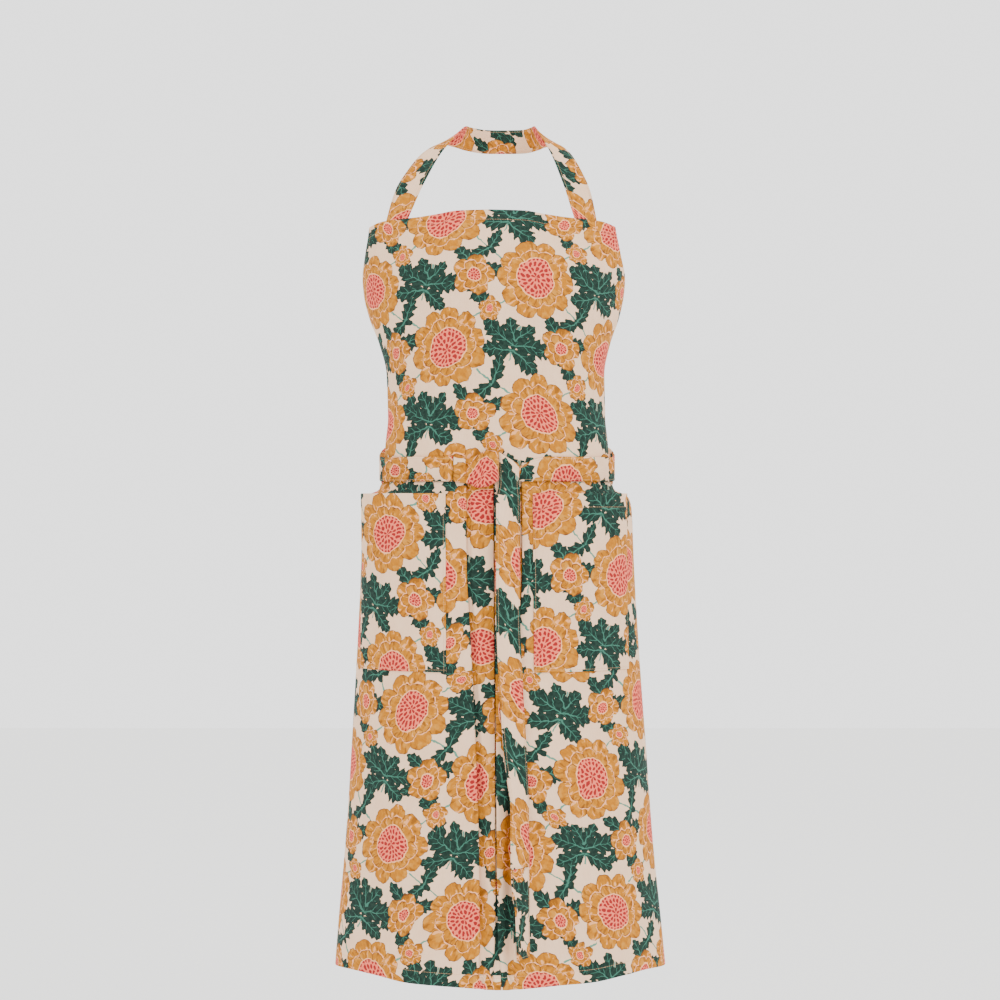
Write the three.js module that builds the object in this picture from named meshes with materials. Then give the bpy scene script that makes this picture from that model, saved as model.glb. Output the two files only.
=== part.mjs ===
import * as THREE from 'three';

// A bib apron with two patch pockets, in the form it has when it is worn.
// Millimetres, +Z up, the front faces -Y and +X is the right of the front view.
// The origin is on the inner face of the neck strap, where it lies on the nape.

// Cloth
const clothThickness = 1.5;
const bandThickness = 2;       // a strap or tie, folded to four layers and pressed flat
const clearance = 0.4;         // between pieces that lie on each other
const strapWidth = 32;
const tieWidth = 32;

// Heights
const bibTopDrop = 112;        // from the nape down to the middle of the bib's top edge
const bibHeight = 328;         // top edge to waist seam
const skirtLength = 671;       // waist seam to hem
const hemRise = 10;            // how far the hem is drawn up between its middle and its corners
const topEdgeSag = 17;         // how far the bib's top corners hang below its middle

// The body inside, as half ellipses seen from above: half width, depth in front of its
// middle, and how far its middle lies in front of the nape
const bustHalfWidth = 174;
const bustDepth = 122;
const bustForward = 75;
const waistHalfWidth = 150;
const waistDepth = 95;
const waistForward = 80;
const hemHalfWidth = 219;
const hemDepth = 150;
const hemForward = 58;
const neckHalfWidth = 55;
const neckDepth = 62;          // nape to where the strap reaches the side of the neck
const bustLean = -8;           // how far the bust and the waist stand to the left of the nape
const waistLean = -4;
const wornShift = -4;          // the apron has slipped this far round the body to the left

// Pleats, measured along the cloth from the centre line
const pleatDepth = 22;         // cloth under each fold
const pleatSpacing = 36;       // centre line to the side pleats' folds
const pleatBend = 1.3;         // radius of a pressed fold, to the middle of the cloth

// Pockets
const pocketWidth = 143;
const pocketHeight = 228;
const pocketDrop = 40;         // waist seam to the pocket's mouth
const pocketSpacing = 114;     // between the two pockets
const pocketShift = -6.5;      // the middle between them lies this far beside the centre line
const pocketFullness = 12;     // how far the mouth's middle stands off the skirt
const pocketSwell = 0.6;       // under 1, the mouth is fuller towards its ends
const ledgeDrop = 0.09;        // share of skirtLength above which the pockets hang straight

// Strap, ties and knot
const strapSpread = 130;       // centre line to the strap's middle at the bib's top edge
const strapOverlap = 26;       // strap sewn down behind the bib
const strapSlant = 0.4;        // how far it leans outwards there, as a share of strapOverlap
const strapSetBack = 2;        // further behind the bib than the cloth's own thickness
const tieDrop = 8;             // waist seam to the middle of the tie
const tieRoot = 76;            // degrees round the body at which the ties are sewn on
const knotWidth = 58;
const knotDepth = 14;
const knotOffset = -22.75;     // the knot's middle from the centre line
const frontTailLength = 520;
const backTailLength = 602;
const frontTailTop = 0.43;     // above the tie's middle, as a share of tieWidth
const backTailTop = -0.6;
const frontTailSlant = 0.5;    // how much higher its top is at the knot, as a share of tieWidth

const bibTopZ = -bibTopDrop;
const waistZ = bibTopZ - bibHeight;
const hemZ = waistZ - skirtLength;
const tieZ = waistZ - tieDrop;

// The bib. drop: share of its height; width and depth: share of the way from the waist's
// size to the bust's; edge: degrees round the body at which the cloth ends
const bibForm = [
  { drop: 0, width: 0.92, depth: -0.63, edge: 68 },
  { drop: 0.075, width: 0.92, depth: -0.2, edge: 71.5 },
  { drop: 0.13, width: 0.94, depth: 0.15, edge: 75 },
  { drop: 0.185, width: 0.97, depth: 0.52, edge: 79 },
  { drop: 0.245, width: 1, depth: 0.86, edge: 86 },
  { drop: 0.32, width: 0.92, depth: 1, edge: 91 },
  { drop: 0.41, width: 0.64, depth: 0.95, edge: 93 },
  { drop: 0.51, width: 0.15, depth: 0.74, edge: 92 },
  { drop: 0.64, width: -0.22, depth: 0.42, edge: 90 },
  { drop: 0.81, width: -0.24, depth: 0.14, edge: 87 },
  { drop: 0.92, width: -0.08, depth: 0.04, edge: 83.5 },
  { drop: 1, width: 0, depth: 0, edge: 82 },
];

// The top edge. across: share of the half width; sag: share of topEdgeSag
const topEdgeForm = [
  { across: 0, sag: 0 },
  { across: 0.25, sag: 0.06 },
  { across: 0.42, sag: 0.34 },
  { across: 0.6, sag: 0.55 },
  { across: 0.85, sag: 0.68 },
  { across: 1, sag: 1 },
];

// The skirt. drop: share of its length; width and depth: share of the way from the waist's
// size to the hem's; edge: degrees round the body at which the cloth ends. The step between
// the fourth and fifth rows is the ledge where the cloth stands out below the tie.
const skirtForm = [
  { drop: 0, width: 0, depth: 0, edge: 82 },
  { drop: 0.036, width: 0.015, depth: 0.015, edge: 82 },
  { drop: 0.043, width: 0.07, depth: 0.03, edge: 82 },
  { drop: 0.052, width: 0.1, depth: 0.045, edge: 83 },
  { drop: 0.06, width: 0.27, depth: 0.09, edge: 84 },
  { drop: 0.068, width: 0.36, depth: 0.13, edge: 86 },
  { drop: 0.09, width: 0.41, depth: 0.16, edge: 88 },
  { drop: 0.2, width: 0.45, depth: 0.3, edge: 91 },
  { drop: 0.37, width: 0.54, depth: 0.53, edge: 95 },
  { drop: 0.57, width: 0.67, depth: 0.71, edge: 98 },
  { drop: 0.77, width: 0.8, depth: 0.85, edge: 100 },
  { drop: 0.92, width: 0.93, depth: 0.96, edge: 102 },
  { drop: 1, width: 1, depth: 1, edge: 103 },
];

// The pleats. turn: degrees that the cloth turns at each bend, 180 where it lies flat on
// itself; lap: share of pleatDepth; bend: radius as a multiple of pleatBend; slit and side:
// where the centre and side folds show, as shares of pleatSpacing from the centre line
const pleatForm = [
  { drop: 0, turn: 180, lap: 1, bend: 1, slit: 0.025, side: 1 },
  { drop: 0.2, turn: 180, lap: 1, bend: 1, slit: 0.025, side: 1 },
  { drop: 0.3, turn: 178, lap: 0.86, bend: 1.05, slit: 0.025, side: 0.91 },
  { drop: 0.42, turn: 176, lap: 0.66, bend: 1.1, slit: 0.025, side: 0.8 },
  { drop: 0.57, turn: 172, lap: 0.44, bend: 1.15, slit: 0.03, side: 0.69 },
  { drop: 0.7, turn: 165, lap: 0.26, bend: 1.2, slit: 0.03, side: 0.62 },
  { drop: 0.82, turn: 148, lap: 0.13, bend: 1.3, slit: 0.035, side: 0.6 },
  { drop: 0.9, turn: 104, lap: 0.1, bend: 1.5, slit: 0.06, side: 0.6 },
  { drop: 0.95, turn: 62, lap: 0.1, bend: 2.4, slit: 0.12, side: 0.62 },
  { drop: 1, turn: 22, lap: 0.1, bend: 5, slit: 0.2, side: 0.66 },
];

// The hem. across: share of the way from the centre line to the corner; rise: share of hemRise
const hemEdgeForm = [
  { across: 0, rise: 0 },
  { across: 0.23, rise: 0.3 },
  { across: 0.38, rise: 0.52 },
  { across: 0.53, rise: 0.9 },
  { across: 0.66, rise: 1 },
  { across: 0.85, rise: 0.6 },
  { across: 1, rise: 0.15 },
];

// The pockets. drop: share of the height; full: how far that row stands off, as a share of
// pocketFullness
const pocketForm = [
  { drop: 0, full: 1 },
  { drop: 0.05, full: 0.93 },
  { drop: 0.15, full: 0.74 },
  { drop: 0.3, full: 0.52 },
  { drop: 0.5, full: 0.36 },
  { drop: 0.7, full: 0.28 },
  { drop: 0.88, full: 0.18 },
  { drop: 0.96, full: 0.07 },
  { drop: 1, full: 0 },
];

// The neck strap above the bib. rise: share of the way from the bib's top edge up to the
// nape; out: share of the way from the side of the neck out to the strap's foot; fore: share
// of neckDepth in front of the nape, past 1 towards the chest; then the way its face looks
const strapForm = [
  { rise: 0.29, out: 0.85, fore: 1.9, faceX: 0.14, faceY: -0.84, faceZ: 0.52 },
  { rise: 0.47, out: 0.72, fore: 1.75, faceX: 0.12, faceY: -0.7, faceZ: 0.7 },
  { rise: 0.75, out: 0.46, fore: 1.47, faceX: 0.26, faceY: -0.45, faceZ: 0.85 },
  { rise: 0.94, out: 0.18, fore: 1.08, faceX: 0.45, faceY: -0.1, faceZ: 0.88 },
  { rise: 1, out: -0.01, fore: 0.72, faceX: 0.8, faceY: 0.1, faceZ: 0.55 },
  { rise: 1.01, out: -0.145, fore: 0.3, faceX: 0.82, faceY: 0.48, faceZ: 0.32 },
  { rise: 1, out: -0.4, fore: 0.05, faceX: 0.45, faceY: 0.88, faceZ: 0.12 },
];

// A waist tie from where it is sewn on, round the back, to the knot. round: degrees; lift:
// how far its middle is above the waist's, as a share of tieWidth; layer: 1 on the cloth, 2
// over the other tie. The first table passes under at the middle of the back, where the two
// cross, and the second passes over.
const lowerTieForm = [
  { round: 76, lift: 0, layer: 1 },
  { round: 86, lift: 0, layer: 1 },
  { round: 108, lift: -0.46, layer: 1 },
  { round: 124, lift: -0.58, layer: 1 },
  { round: 148, lift: -0.58, layer: 1 },
  { round: 164, lift: -0.38, layer: 1 },
  { round: 196, lift: 0.38, layer: 1 },
  { round: 212, lift: 0.58, layer: 1 },
  { round: 236, lift: 0.58, layer: 2 },
  { round: 250, lift: 0.5, layer: 2 },
  { round: 270, lift: 0.12, layer: 2 },
  { round: 288, lift: 0, layer: 2 },
  { round: 303, lift: 0, layer: 1 },
];
const upperTieForm = [
  { round: 76, lift: 0, layer: 1 },
  { round: 86, lift: 0, layer: 1 },
  { round: 108, lift: -0.46, layer: 1 },
  { round: 124, lift: -0.58, layer: 1 },
  { round: 148, lift: -0.58, layer: 2 },
  { round: 164, lift: -0.38, layer: 2 },
  { round: 196, lift: 0.38, layer: 2 },
  { round: 212, lift: 0.58, layer: 2 },
  { round: 236, lift: 0.58, layer: 2 },
  { round: 250, lift: 0.5, layer: 2 },
  { round: 270, lift: 0.12, layer: 2 },
  { round: 288, lift: 0, layer: 2 },
  { round: 303, lift: 0, layer: 1 },
];

// The last stretch of the tie that comes in from the right, where the knot gathers it.
// before: distance short of the knot as a multiple of tieWidth; tall and lift: shares of tieWidth
const gatherForm = [
  { before: 1.95, tall: 1, lift: 0 },
  { before: 1.4, tall: 0.9, lift: -0.06 },
  { before: 0.8, tall: 0.6, lift: -0.19 },
  { before: 0, tall: 0.56, lift: -0.17 },
];

// The knot, from its left end to its right. across: share of knotWidth; top and bottom:
// shares of tieWidth from the waist's middle; thick: share of knotDepth
const knotForm = [
  { across: 0, top: 0.47, bottom: -0.5, thick: 0.24 },
  { across: 0.13, top: 0.41, bottom: -0.53, thick: 0.46 },
  { across: 0.32, top: 0.4, bottom: -0.57, thick: 0.62 },
  { across: 0.54, top: 0.54, bottom: -0.74, thick: 0.88 },
  { across: 0.74, top: 0.72, bottom: -0.7, thick: 1 },
  { across: 0.91, top: 0.71, bottom: -0.55, thick: 0.97 },
  { across: 1, top: 0.62, bottom: -0.42, thick: 0.7 },
];

// The tails. drop: share of the length; aside: how far to the right of the top, off: how far
// the middle stands off the skirt, and wide: shares of tieWidth; twist: degrees about the
// vertical that bring the left edge forward
const frontTailForm = [
  { drop: 0, aside: 0, off: 0.14, twist: 0, wide: 0.8 },
  { drop: 0.067, aside: 0, off: 0.17, twist: 4, wide: 0.8 },
  { drop: 0.1, aside: -0.04, off: 0.34, twist: 19, wide: 1 },
  { drop: 0.35, aside: -0.04, off: 0.36, twist: 19, wide: 1 },
  { drop: 0.54, aside: 0.06, off: 0.36, twist: 20, wide: 1 },
  { drop: 0.67, aside: 0.19, off: 0.4, twist: 24, wide: 1 },
  { drop: 0.76, aside: 0.3, off: 0.46, twist: 34, wide: 1 },
  { drop: 0.84, aside: 0.41, off: 0.6, twist: 45, wide: 1 },
  { drop: 1, aside: 0.43, off: 0.6, twist: 44, wide: 1 },
];
const backTailForm = [
  { drop: 0, aside: 0, off: 0.04, twist: 0, wide: 0.8 },
  { drop: 0.035, aside: -0.03, off: 0.16, twist: 19, wide: 1 },
  { drop: 0.25, aside: -0.04, off: 0.22, twist: 19, wide: 1 },
  { drop: 0.42, aside: 0.06, off: 0.24, twist: 20, wide: 1 },
  { drop: 0.53, aside: 0.19, off: 0.28, twist: 24, wide: 1 },
  { drop: 0.61, aside: 0.3, off: 0.34, twist: 34, wide: 1 },
  { drop: 0.68, aside: 0.41, off: 0.4, twist: 45, wide: 1 },
  { drop: 0.84, aside: 0.44, off: 0.42, twist: 47, wide: 1 },
  { drop: 0.9, aside: 0.52, off: 0.5, twist: 58, wide: 1 },
  { drop: 1, aside: 0.56, off: 0.52, twist: 61, wide: 1 },
];

const radians = THREE.MathUtils.degToRad;

// One column of a table at a given place, along a curve through its rows that never
// swings past them
function readTable(table, key, column, at) {
  let row = 0;
  while (row < table.length - 2 && at > table[row + 1][key]) row += 1;
  const slopeBetween = (first) => {
    const [a, b] = [table[first], table[first + 1]];
    return (b[column] - a[column]) / (b[key] - a[key]);
  };
  const slopeAt = (index) => {
    if (index === 0) return slopeBetween(0);
    if (index === table.length - 1) return slopeBetween(index - 1);
    const [before, after] = [slopeBetween(index - 1), slopeBetween(index)];
    return before * after <= 0 ? 0 : (2 * before * after) / (before + after);
  };
  const [from, to] = [table[row], table[row + 1]];
  const span = to[key] - from[key];
  const t = THREE.MathUtils.clamp((at - from[key]) / span, 0, 1);
  const [t2, t3] = [t * t, t * t * t];
  return (2 * t3 - 3 * t2 + 1) * from[column] + (t3 - 2 * t2 + t) * span * slopeAt(row)
    + (3 * t2 - 2 * t3) * to[column] + (t3 - t2) * span * slopeAt(row + 1);
}

// The body's outline at a height, as the ellipse that the cloth's middle surface follows
function bodyAt(z) {
  if (z > waistZ) {
    const drop = (bibTopZ - z) / bibHeight;
    const share = (column) => readTable(bibForm, 'drop', column, drop);
    const toWaist = THREE.MathUtils.smoothstep(drop, 0.3, 1);
    return {
      z,
      x: THREE.MathUtils.lerp(bustLean, waistLean, toWaist),
      y: -THREE.MathUtils.lerp(bustForward, waistForward, toWaist),
      halfWidth: THREE.MathUtils.lerp(waistHalfWidth, bustHalfWidth, share('width')),
      depth: THREE.MathUtils.lerp(waistDepth, bustDepth, share('depth')),
      edge: share('edge'),
    };
  }
  const drop = (waistZ - z) / skirtLength;
  const share = (column) => readTable(skirtForm, 'drop', column, drop);
  return {
    z,
    x: waistLean * Math.max(0, 1 - drop),
    y: -THREE.MathUtils.lerp(waistForward, hemForward, THREE.MathUtils.clamp(drop, 0, 1)),
    halfWidth: THREE.MathUtils.lerp(waistHalfWidth, hemHalfWidth, share('width')),
    depth: THREE.MathUtils.lerp(waistDepth, hemDepth, share('depth')),
    edge: share('edge'),
  };
}

// A place on the body's outline at an angle from the front, pushed out by a distance
function atAngle(body, degrees, out) {
  const [sin, cos] = [Math.sin(radians(degrees)), Math.cos(radians(degrees))];
  const normal = new THREE.Vector3(sin / body.halfWidth, -cos / body.depth, 0).normalize();
  return new THREE.Vector3(
    body.x + body.halfWidth * sin + normal.x * out,
    body.y - body.depth * cos + normal.y * out,
    body.z,
  );
}

// Distance along the outline from the front to an angle, and the angle at a distance
const arcStep = 0.5;
function arcPiece(body, degrees) {
  const angle = radians(degrees);
  const stretch = Math.hypot(body.halfWidth * Math.cos(angle), body.depth * Math.sin(angle));
  return stretch * radians(arcStep);
}

function arcTo(body, degrees) {
  let length = 0;
  for (let at = arcStep / 2; at < degrees; at += arcStep) length += arcPiece(body, at);
  return length;
}

function angleAt(body, arc) {
  let left = Math.abs(arc);
  let degrees = 0;
  while (left > 0) {
    const piece = arcPiece(body, degrees + arcStep / 2);
    degrees += arcStep * Math.min(1, left / piece);
    left -= piece;
  }
  return Math.sign(arc) * degrees;
}

// A place on the outline at a distance from the apron's own centre line
function atArc(body, arc, out) {
  return atAngle(body, angleAt(body, arc + wornShift), out);
}

function meshOf(name, colour, corners, faces) {
  const geometry = new THREE.BufferGeometry();
  geometry.setAttribute('position', new THREE.Float32BufferAttribute(corners.flatMap((c) => c.toArray()), 3));
  geometry.setIndex(faces.flat());
  geometry.computeVertexNormals();
  const cotton = new THREE.MeshStandardMaterial({ color: colour, roughness: 0.9, metalness: 0 });
  const mesh = new THREE.Mesh(geometry, cotton);
  mesh.name = name;
  return mesh;
}

// A closed wall of cloth round a grid of places on its middle surface. Rows run down the
// cloth and columns run to the right, seen from its outer face.
function clothWall(name, colour, grid, thickness) {
  const [rows, columns] = [grid.length, grid[0].length];
  const corners = [];
  for (const side of [0.5, -0.5]) {
    for (let i = 0; i < rows; i += 1) {
      for (let j = 0; j < columns; j += 1) {
        const [above, below] = [grid[Math.max(i - 1, 0)][j], grid[Math.min(i + 1, rows - 1)][j]];
        const [left, right] = [grid[i][Math.max(j - 1, 0)], grid[i][Math.min(j + 1, columns - 1)]];
        const down = below.clone().sub(above);
        const before = grid[i][j].clone().sub(left).normalize();
        const after = right.clone().sub(grid[i][j]).normalize();
        const normal = down.cross(before.add(after)).normalize();
        corners.push(grid[i][j].clone().addScaledVector(normal, side * thickness));
      }
    }
  }
  const outer = (i, j) => i * columns + j;
  const inner = (i, j) => rows * columns + i * columns + j;
  const faces = [];
  const quad = (a, b, c, d) => faces.push([a, b, c], [a, c, d]);
  for (let i = 0; i < rows - 1; i += 1) {
    for (let j = 0; j < columns - 1; j += 1) {
      quad(outer(i, j), outer(i + 1, j), outer(i + 1, j + 1), outer(i, j + 1));
      quad(inner(i, j), inner(i, j + 1), inner(i + 1, j + 1), inner(i + 1, j));
    }
    quad(outer(i, 0), inner(i, 0), inner(i + 1, 0), outer(i + 1, 0));
    const last = columns - 1;
    quad(outer(i, last), outer(i + 1, last), inner(i + 1, last), inner(i, last));
  }
  for (let j = 0; j < columns - 1; j += 1) {
    quad(outer(0, j), outer(0, j + 1), inner(0, j + 1), inner(0, j));
    const last = rows - 1;
    quad(outer(last, j), inner(last, j), inner(last, j + 1), outer(last, j + 1));
  }
  return meshOf(name, colour, corners, faces);
}

// A solid through rings of corners, closed flat at both ends
function ringSolid(name, colour, rings) {
  const sides = rings[0].length;
  const corners = rings.flat();
  const faces = [];
  for (let ring = 0; ring < rings.length - 1; ring += 1) {
    for (let side = 0; side < sides; side += 1) {
      const next = (side + 1) % sides;
      const [a, b] = [ring * sides + side, ring * sides + next];
      faces.push([a, b + sides, b], [a, a + sides, b + sides]);
    }
  }
  const end = (rings.length - 1) * sides;
  for (let side = 1; side < sides - 1; side += 1) {
    faces.push([0, side, side + 1], [end, end + side + 1, end + side]);
  }
  return meshOf(name, colour, corners, faces);
}

const bibColour = 0xd9c9bd;
const pocketColour = 0xd2954a;
const bandColour = 0xc9a58c;

// The bib
const bibColumns = 22;
function topEdgeZ(across) {
  return bibTopZ - topEdgeSag * readTable(topEdgeForm, 'across', 'sag', Math.abs(across));
}

function bibPlace(across, z, out) {
  const body = bodyAt(z);
  return atArc(body, across * arcTo(body, body.edge), out);
}

function makeBib() {
  const bottom = waistZ + clearance / 2;
  const grid = bibForm.map((row) => {
    const places = [];
    for (let column = 0; column <= bibColumns; column += 1) {
      const across = -1 + (2 * column) / bibColumns;
      places.push(bibPlace(across, THREE.MathUtils.lerp(topEdgeZ(across), bottom, row.drop), 0));
    }
    return places;
  });
  return clothWall('bib', bibColour, grid, clothThickness);
}

// The skirt, one section at a time from the centre line outwards. Each place is a distance
// along the outline and a depth inside it.
const bendSteps = 3;
const outerColumns = 14;

// A fold seen from above: the cloth comes along the outline at a depth, turns back over
// itself and turns again onto the outline, where it goes on from `start`
function foldPlaces(start, turn, lap, bend) {
  const angle = radians(turn);
  const places = [];
  let [arc, depth] = [
    start - 2 * bend * Math.sin(angle) - lap * Math.cos(angle),
    2 * bend * (1 - Math.cos(angle)) + lap * Math.sin(angle),
  ];
  for (let step = 0; step <= bendSteps; step += 1) {
    const part = (angle * step) / bendSteps;
    places.push({ arc: arc + bend * Math.sin(part), depth: depth - bend * (1 - Math.cos(part)) });
  }
  arc += bend * Math.sin(angle) + lap * Math.cos(angle);
  depth -= bend * (1 - Math.cos(angle)) + lap * Math.sin(angle);
  for (let step = 0; step <= bendSteps; step += 1) {
    const part = (angle * (bendSteps - step)) / bendSteps;
    places.push({
      arc: arc + bend * (Math.sin(angle) - Math.sin(part)),
      depth: depth - bend * (Math.cos(part) - Math.cos(angle)),
    });
  }
  return places;
}

function halfSection(body, drop) {
  const read = (column) => readTable(pleatForm, 'drop', column, drop);
  const [turn, lap, bend] = [read('turn'), read('lap') * pleatDepth, read('bend') * pleatBend];
  const centreFold = foldPlaces(read('slit') * pleatSpacing + bend, turn, lap, bend);
  const sideFold = foldPlaces(read('side') * pleatSpacing + bend, turn, lap, bend);
  // Between the folds the cloth lies flat over what is folded under it, then goes down behind
  // the side fold
  const fallTo = Math.min(read('side') * pleatSpacing, sideFold[0].arc) - 2 * clothThickness;
  const foldedTo = Math.max(...centreFold.map((place) => place.arc));
  const fallFrom = Math.min(foldedTo + clothThickness, fallTo - clothThickness);
  const panel = [0, 0.5, 1].map((share) => ({
    arc: THREE.MathUtils.lerp(fallFrom, fallTo, share),
    depth: sideFold[0].depth * share,
  }));
  const outerFrom = sideFold[sideFold.length - 1].arc;
  const outerTo = arcTo(body, body.edge);
  const outer = [];
  for (let column = 1; column <= outerColumns; column += 1) {
    outer.push({ arc: THREE.MathUtils.lerp(outerFrom, outerTo, column / outerColumns), depth: 0 });
  }
  return [...centreFold, ...panel, ...sideFold, ...outer];
}

// Only the lowest part of the cloth follows the rise of the hem
const riseFade = 4;
function makeSkirt() {
  const drops = [...skirtForm, ...pleatForm].map((row) => row.drop);
  const grid = [...new Set(drops)].sort((a, b) => a - b).map((drop) => {
    const z = THREE.MathUtils.lerp(waistZ - clearance / 2, hemZ, drop);
    const body = bodyAt(z);
    const half = halfSection(body, drop);
    const edgeArc = half[half.length - 1].arc;
    const placeOn = (arc, depth) => {
      const place = atArc(body, arc, -depth);
      const rise = readTable(hemEdgeForm, 'across', 'rise', Math.abs(arc) / edgeArc);
      place.z += hemRise * rise * drop ** riseFade;
      return place;
    };
    const left = half.slice().reverse().map((place) => placeOn(-place.arc, place.depth));
    const right = half.map((place) => placeOn(place.arc, place.depth));
    return [...left, placeOn(0, half[0].depth), ...right];
  });
  return clothWall('skirt', bibColour, grid, clothThickness);
}

// The pockets, sewn to the skirt at the sides and the bottom
const pocketColumns = 12;
function makePocket(name, side) {
  const topZ = waistZ - pocketDrop;
  const ledgeZ = waistZ - skirtLength * ledgeDrop;
  const grid = pocketForm.map((row) => {
    const z = topZ - pocketHeight * row.drop;
    const places = [];
    for (let column = 0; column <= pocketColumns; column += 1) {
      const across = column / pocketColumns;
      const inner = pocketSpacing / 2;
      const fromMiddle = side > 0 ? inner + across * pocketWidth : -inner - (1 - across) * pocketWidth;
      const swell = Math.sin(Math.PI * across) ** pocketSwell;
      const out = clothThickness + clearance + pocketFullness * row.full * swell;
      const body = { ...bodyAt(Math.min(z, ledgeZ)), z };
      places.push(atArc(body, pocketShift + fromMiddle, out));
    }
    return places;
  });
  return clothWall(name, pocketColour, grid, clothThickness);
}

// A band that follows a route. A stop gives its middle and the way its face looks.
function makeBand(name, stops, width, stepsBetween) {
  const curveThrough = (places) => new THREE.CatmullRomCurve3(places, false, 'catmullrom', 0.5);
  const middles = curveThrough(stops.map((stop) => stop.place));
  const facings = curveThrough(stops.map((stop) => stop.face));
  const steps = (stops.length - 1) * stepsBetween;
  const grid = [];
  for (let step = 0; step <= steps; step += 1) {
    const t = step / steps;
    const along = middles.getTangent(t);
    const across = along.clone().cross(facings.getPoint(t)).normalize();
    const middle = middles.getPoint(t);
    grid.push([
      middle.clone().addScaledVector(across, width / 2),
      middle.clone().addScaledVector(across, -width / 2),
    ]);
  }
  return clothWall(name, bandColour, grid, bandThickness);
}

function makeNeckStrap() {
  const behind = -(clothThickness / 2 + clearance + bandThickness / 2 + strapSetBack);
  const foot = (side, drop, spread) => {
    const arc = side * spread;
    const across = arc / arcTo(bodyAt(bibTopZ), bodyAt(bibTopZ).edge);
    const z = topEdgeZ(across) - drop;
    const place = atArc(bodyAt(z), arc, 0);
    const face = atArc(bodyAt(z), arc, 1).sub(place);
    const above = atArc(bodyAt(z + 1), arc, 0).sub(place);
    face.addScaledVector(above, -face.dot(above) / above.lengthSq()).normalize();
    return { place: place.addScaledVector(face, behind), face };
  };
  const sideStops = (side) => {
    const low = foot(side, strapOverlap, strapSpread + strapOverlap * strapSlant);
    const edge = foot(side, 0, strapSpread);
    const upper = strapForm.map((row) => {
      const reach = Math.abs(edge.place.x);
      return {
        place: new THREE.Vector3(
          side * THREE.MathUtils.lerp(neckHalfWidth, reach, row.out),
          -neckDepth * row.fore,
          THREE.MathUtils.lerp(edge.place.z, 0, row.rise),
        ),
        face: new THREE.Vector3(side * row.faceX, row.faceY, row.faceZ).normalize(),
      };
    });
    return [low, edge, ...upper];
  };
  const nape = {
    place: new THREE.Vector3(0, bandThickness / 2, 0),
    face: new THREE.Vector3(0, 1, 0),
  };
  const stops = [...sideStops(-1), nape, ...sideStops(1).reverse()];
  const stepsBetween = 3;
  return makeBand('neck_strap', stops, strapWidth, stepsBetween);
}

// The waist, where the ties lie on the cloth just above the ledge
const tieBody = { ...bodyAt(tieZ - tieWidth / 2), z: tieZ };
const layerOut = [
  0,
  clothThickness / 2 + clearance + bandThickness / 2,
  clothThickness / 2 + 2 * clearance + 1.5 * bandThickness,
];
const centreX = tieBody.x + wornShift;
const knotLeft = centreX + knotOffset - knotWidth / 2;
const knotRight = knotLeft + knotWidth;

function waistAngle(x) {
  return THREE.MathUtils.radToDeg(Math.asin((x - tieBody.x) / tieBody.halfWidth));
}

const gatherTable = gatherForm.map((row) => ({ ...row, past: -row.before }));
const stationStep = 5;         // degrees between the places read along a tie
const frontFrom = 270;         // past this the tie is on the front again

// side is the side of the body that the tie is sewn to; it comes back to the front from the
// other side and ends against the knot at endX
function makeWaistTie(name, side, form, endX, gathered) {
  const rows = form.map((row) => ({ ...row, round: row.round - form[0].round + tieRoot }));
  const endRound = 360 - Math.abs(waistAngle(endX));
  const arcToRound = (body, round) => arcTo(body, 360 - round);
  const endArc = arcToRound(tieBody, endRound);
  const stations = [];
  for (let round = tieRoot; round < endRound - stationStep / 2; round += stationStep) stations.push(round);
  stations.push(endRound);
  const grid = stations.map((round) => {
    const before = (arcToRound(tieBody, round) - endArc) / tieWidth;
    const near = gathered && round > frontFrom && before < gatherForm[0].before;
    const tall = near ? readTable(gatherTable, 'past', 'tall', -before) : 1;
    const lower = near ? readTable(gatherTable, 'past', 'lift', -before) : 0;
    const beyondTable = round > rows[rows.length - 1].round;
    const lift = beyondTable ? 0 : readTable(rows, 'round', 'lift', round);
    const layer = beyondTable ? 1 : readTable(rows, 'round', 'layer', round);
    const out = THREE.MathUtils.lerp(layerOut[1], layerOut[2], layer - 1);
    const middle = atAngle(tieBody, side * round, out);
    middle.z += (lift + lower) * tieWidth;
    const half = (tall * tieWidth) / 2;
    const [top, bottom] = [middle.clone(), middle.clone()];
    top.z += half;
    bottom.z -= half;
    return side > 0 ? [top, bottom] : [bottom, top];
  });
  return clothWall(name, bandColour, grid, bandThickness);
}

// The knot: a lump of folded band that bulges from the cloth
const knotSides = 12;
const knotSquareness = 0.55;   // 1 is an oval section, and nearer 0 is nearer to a square one
function makeKnot() {
  const squared = (value) => Math.sign(value) * Math.abs(value) ** knotSquareness;
  const rings = knotForm.map((row) => {
    const x = knotLeft + knotWidth * row.across;
    const backY = atAngle(tieBody, waistAngle(x), clothThickness / 2 + clearance).y;
    const [top, bottom] = [tieZ + row.top * tieWidth, tieZ + row.bottom * tieWidth];
    const thick = row.thick * knotDepth;
    const ring = [];
    for (let side = 0; side < knotSides; side += 1) {
      const angle = (2 * Math.PI * (side + 0.5)) / knotSides;
      ring.push(new THREE.Vector3(
        x,
        backY - (thick / 2) * (1 + squared(Math.cos(angle))),
        (top + bottom) / 2 + ((top - bottom) / 2) * squared(Math.sin(angle)),
      ));
    }
    return ring;
  });
  return ringSolid('tie_knot', bandColour, rings);
}

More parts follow.
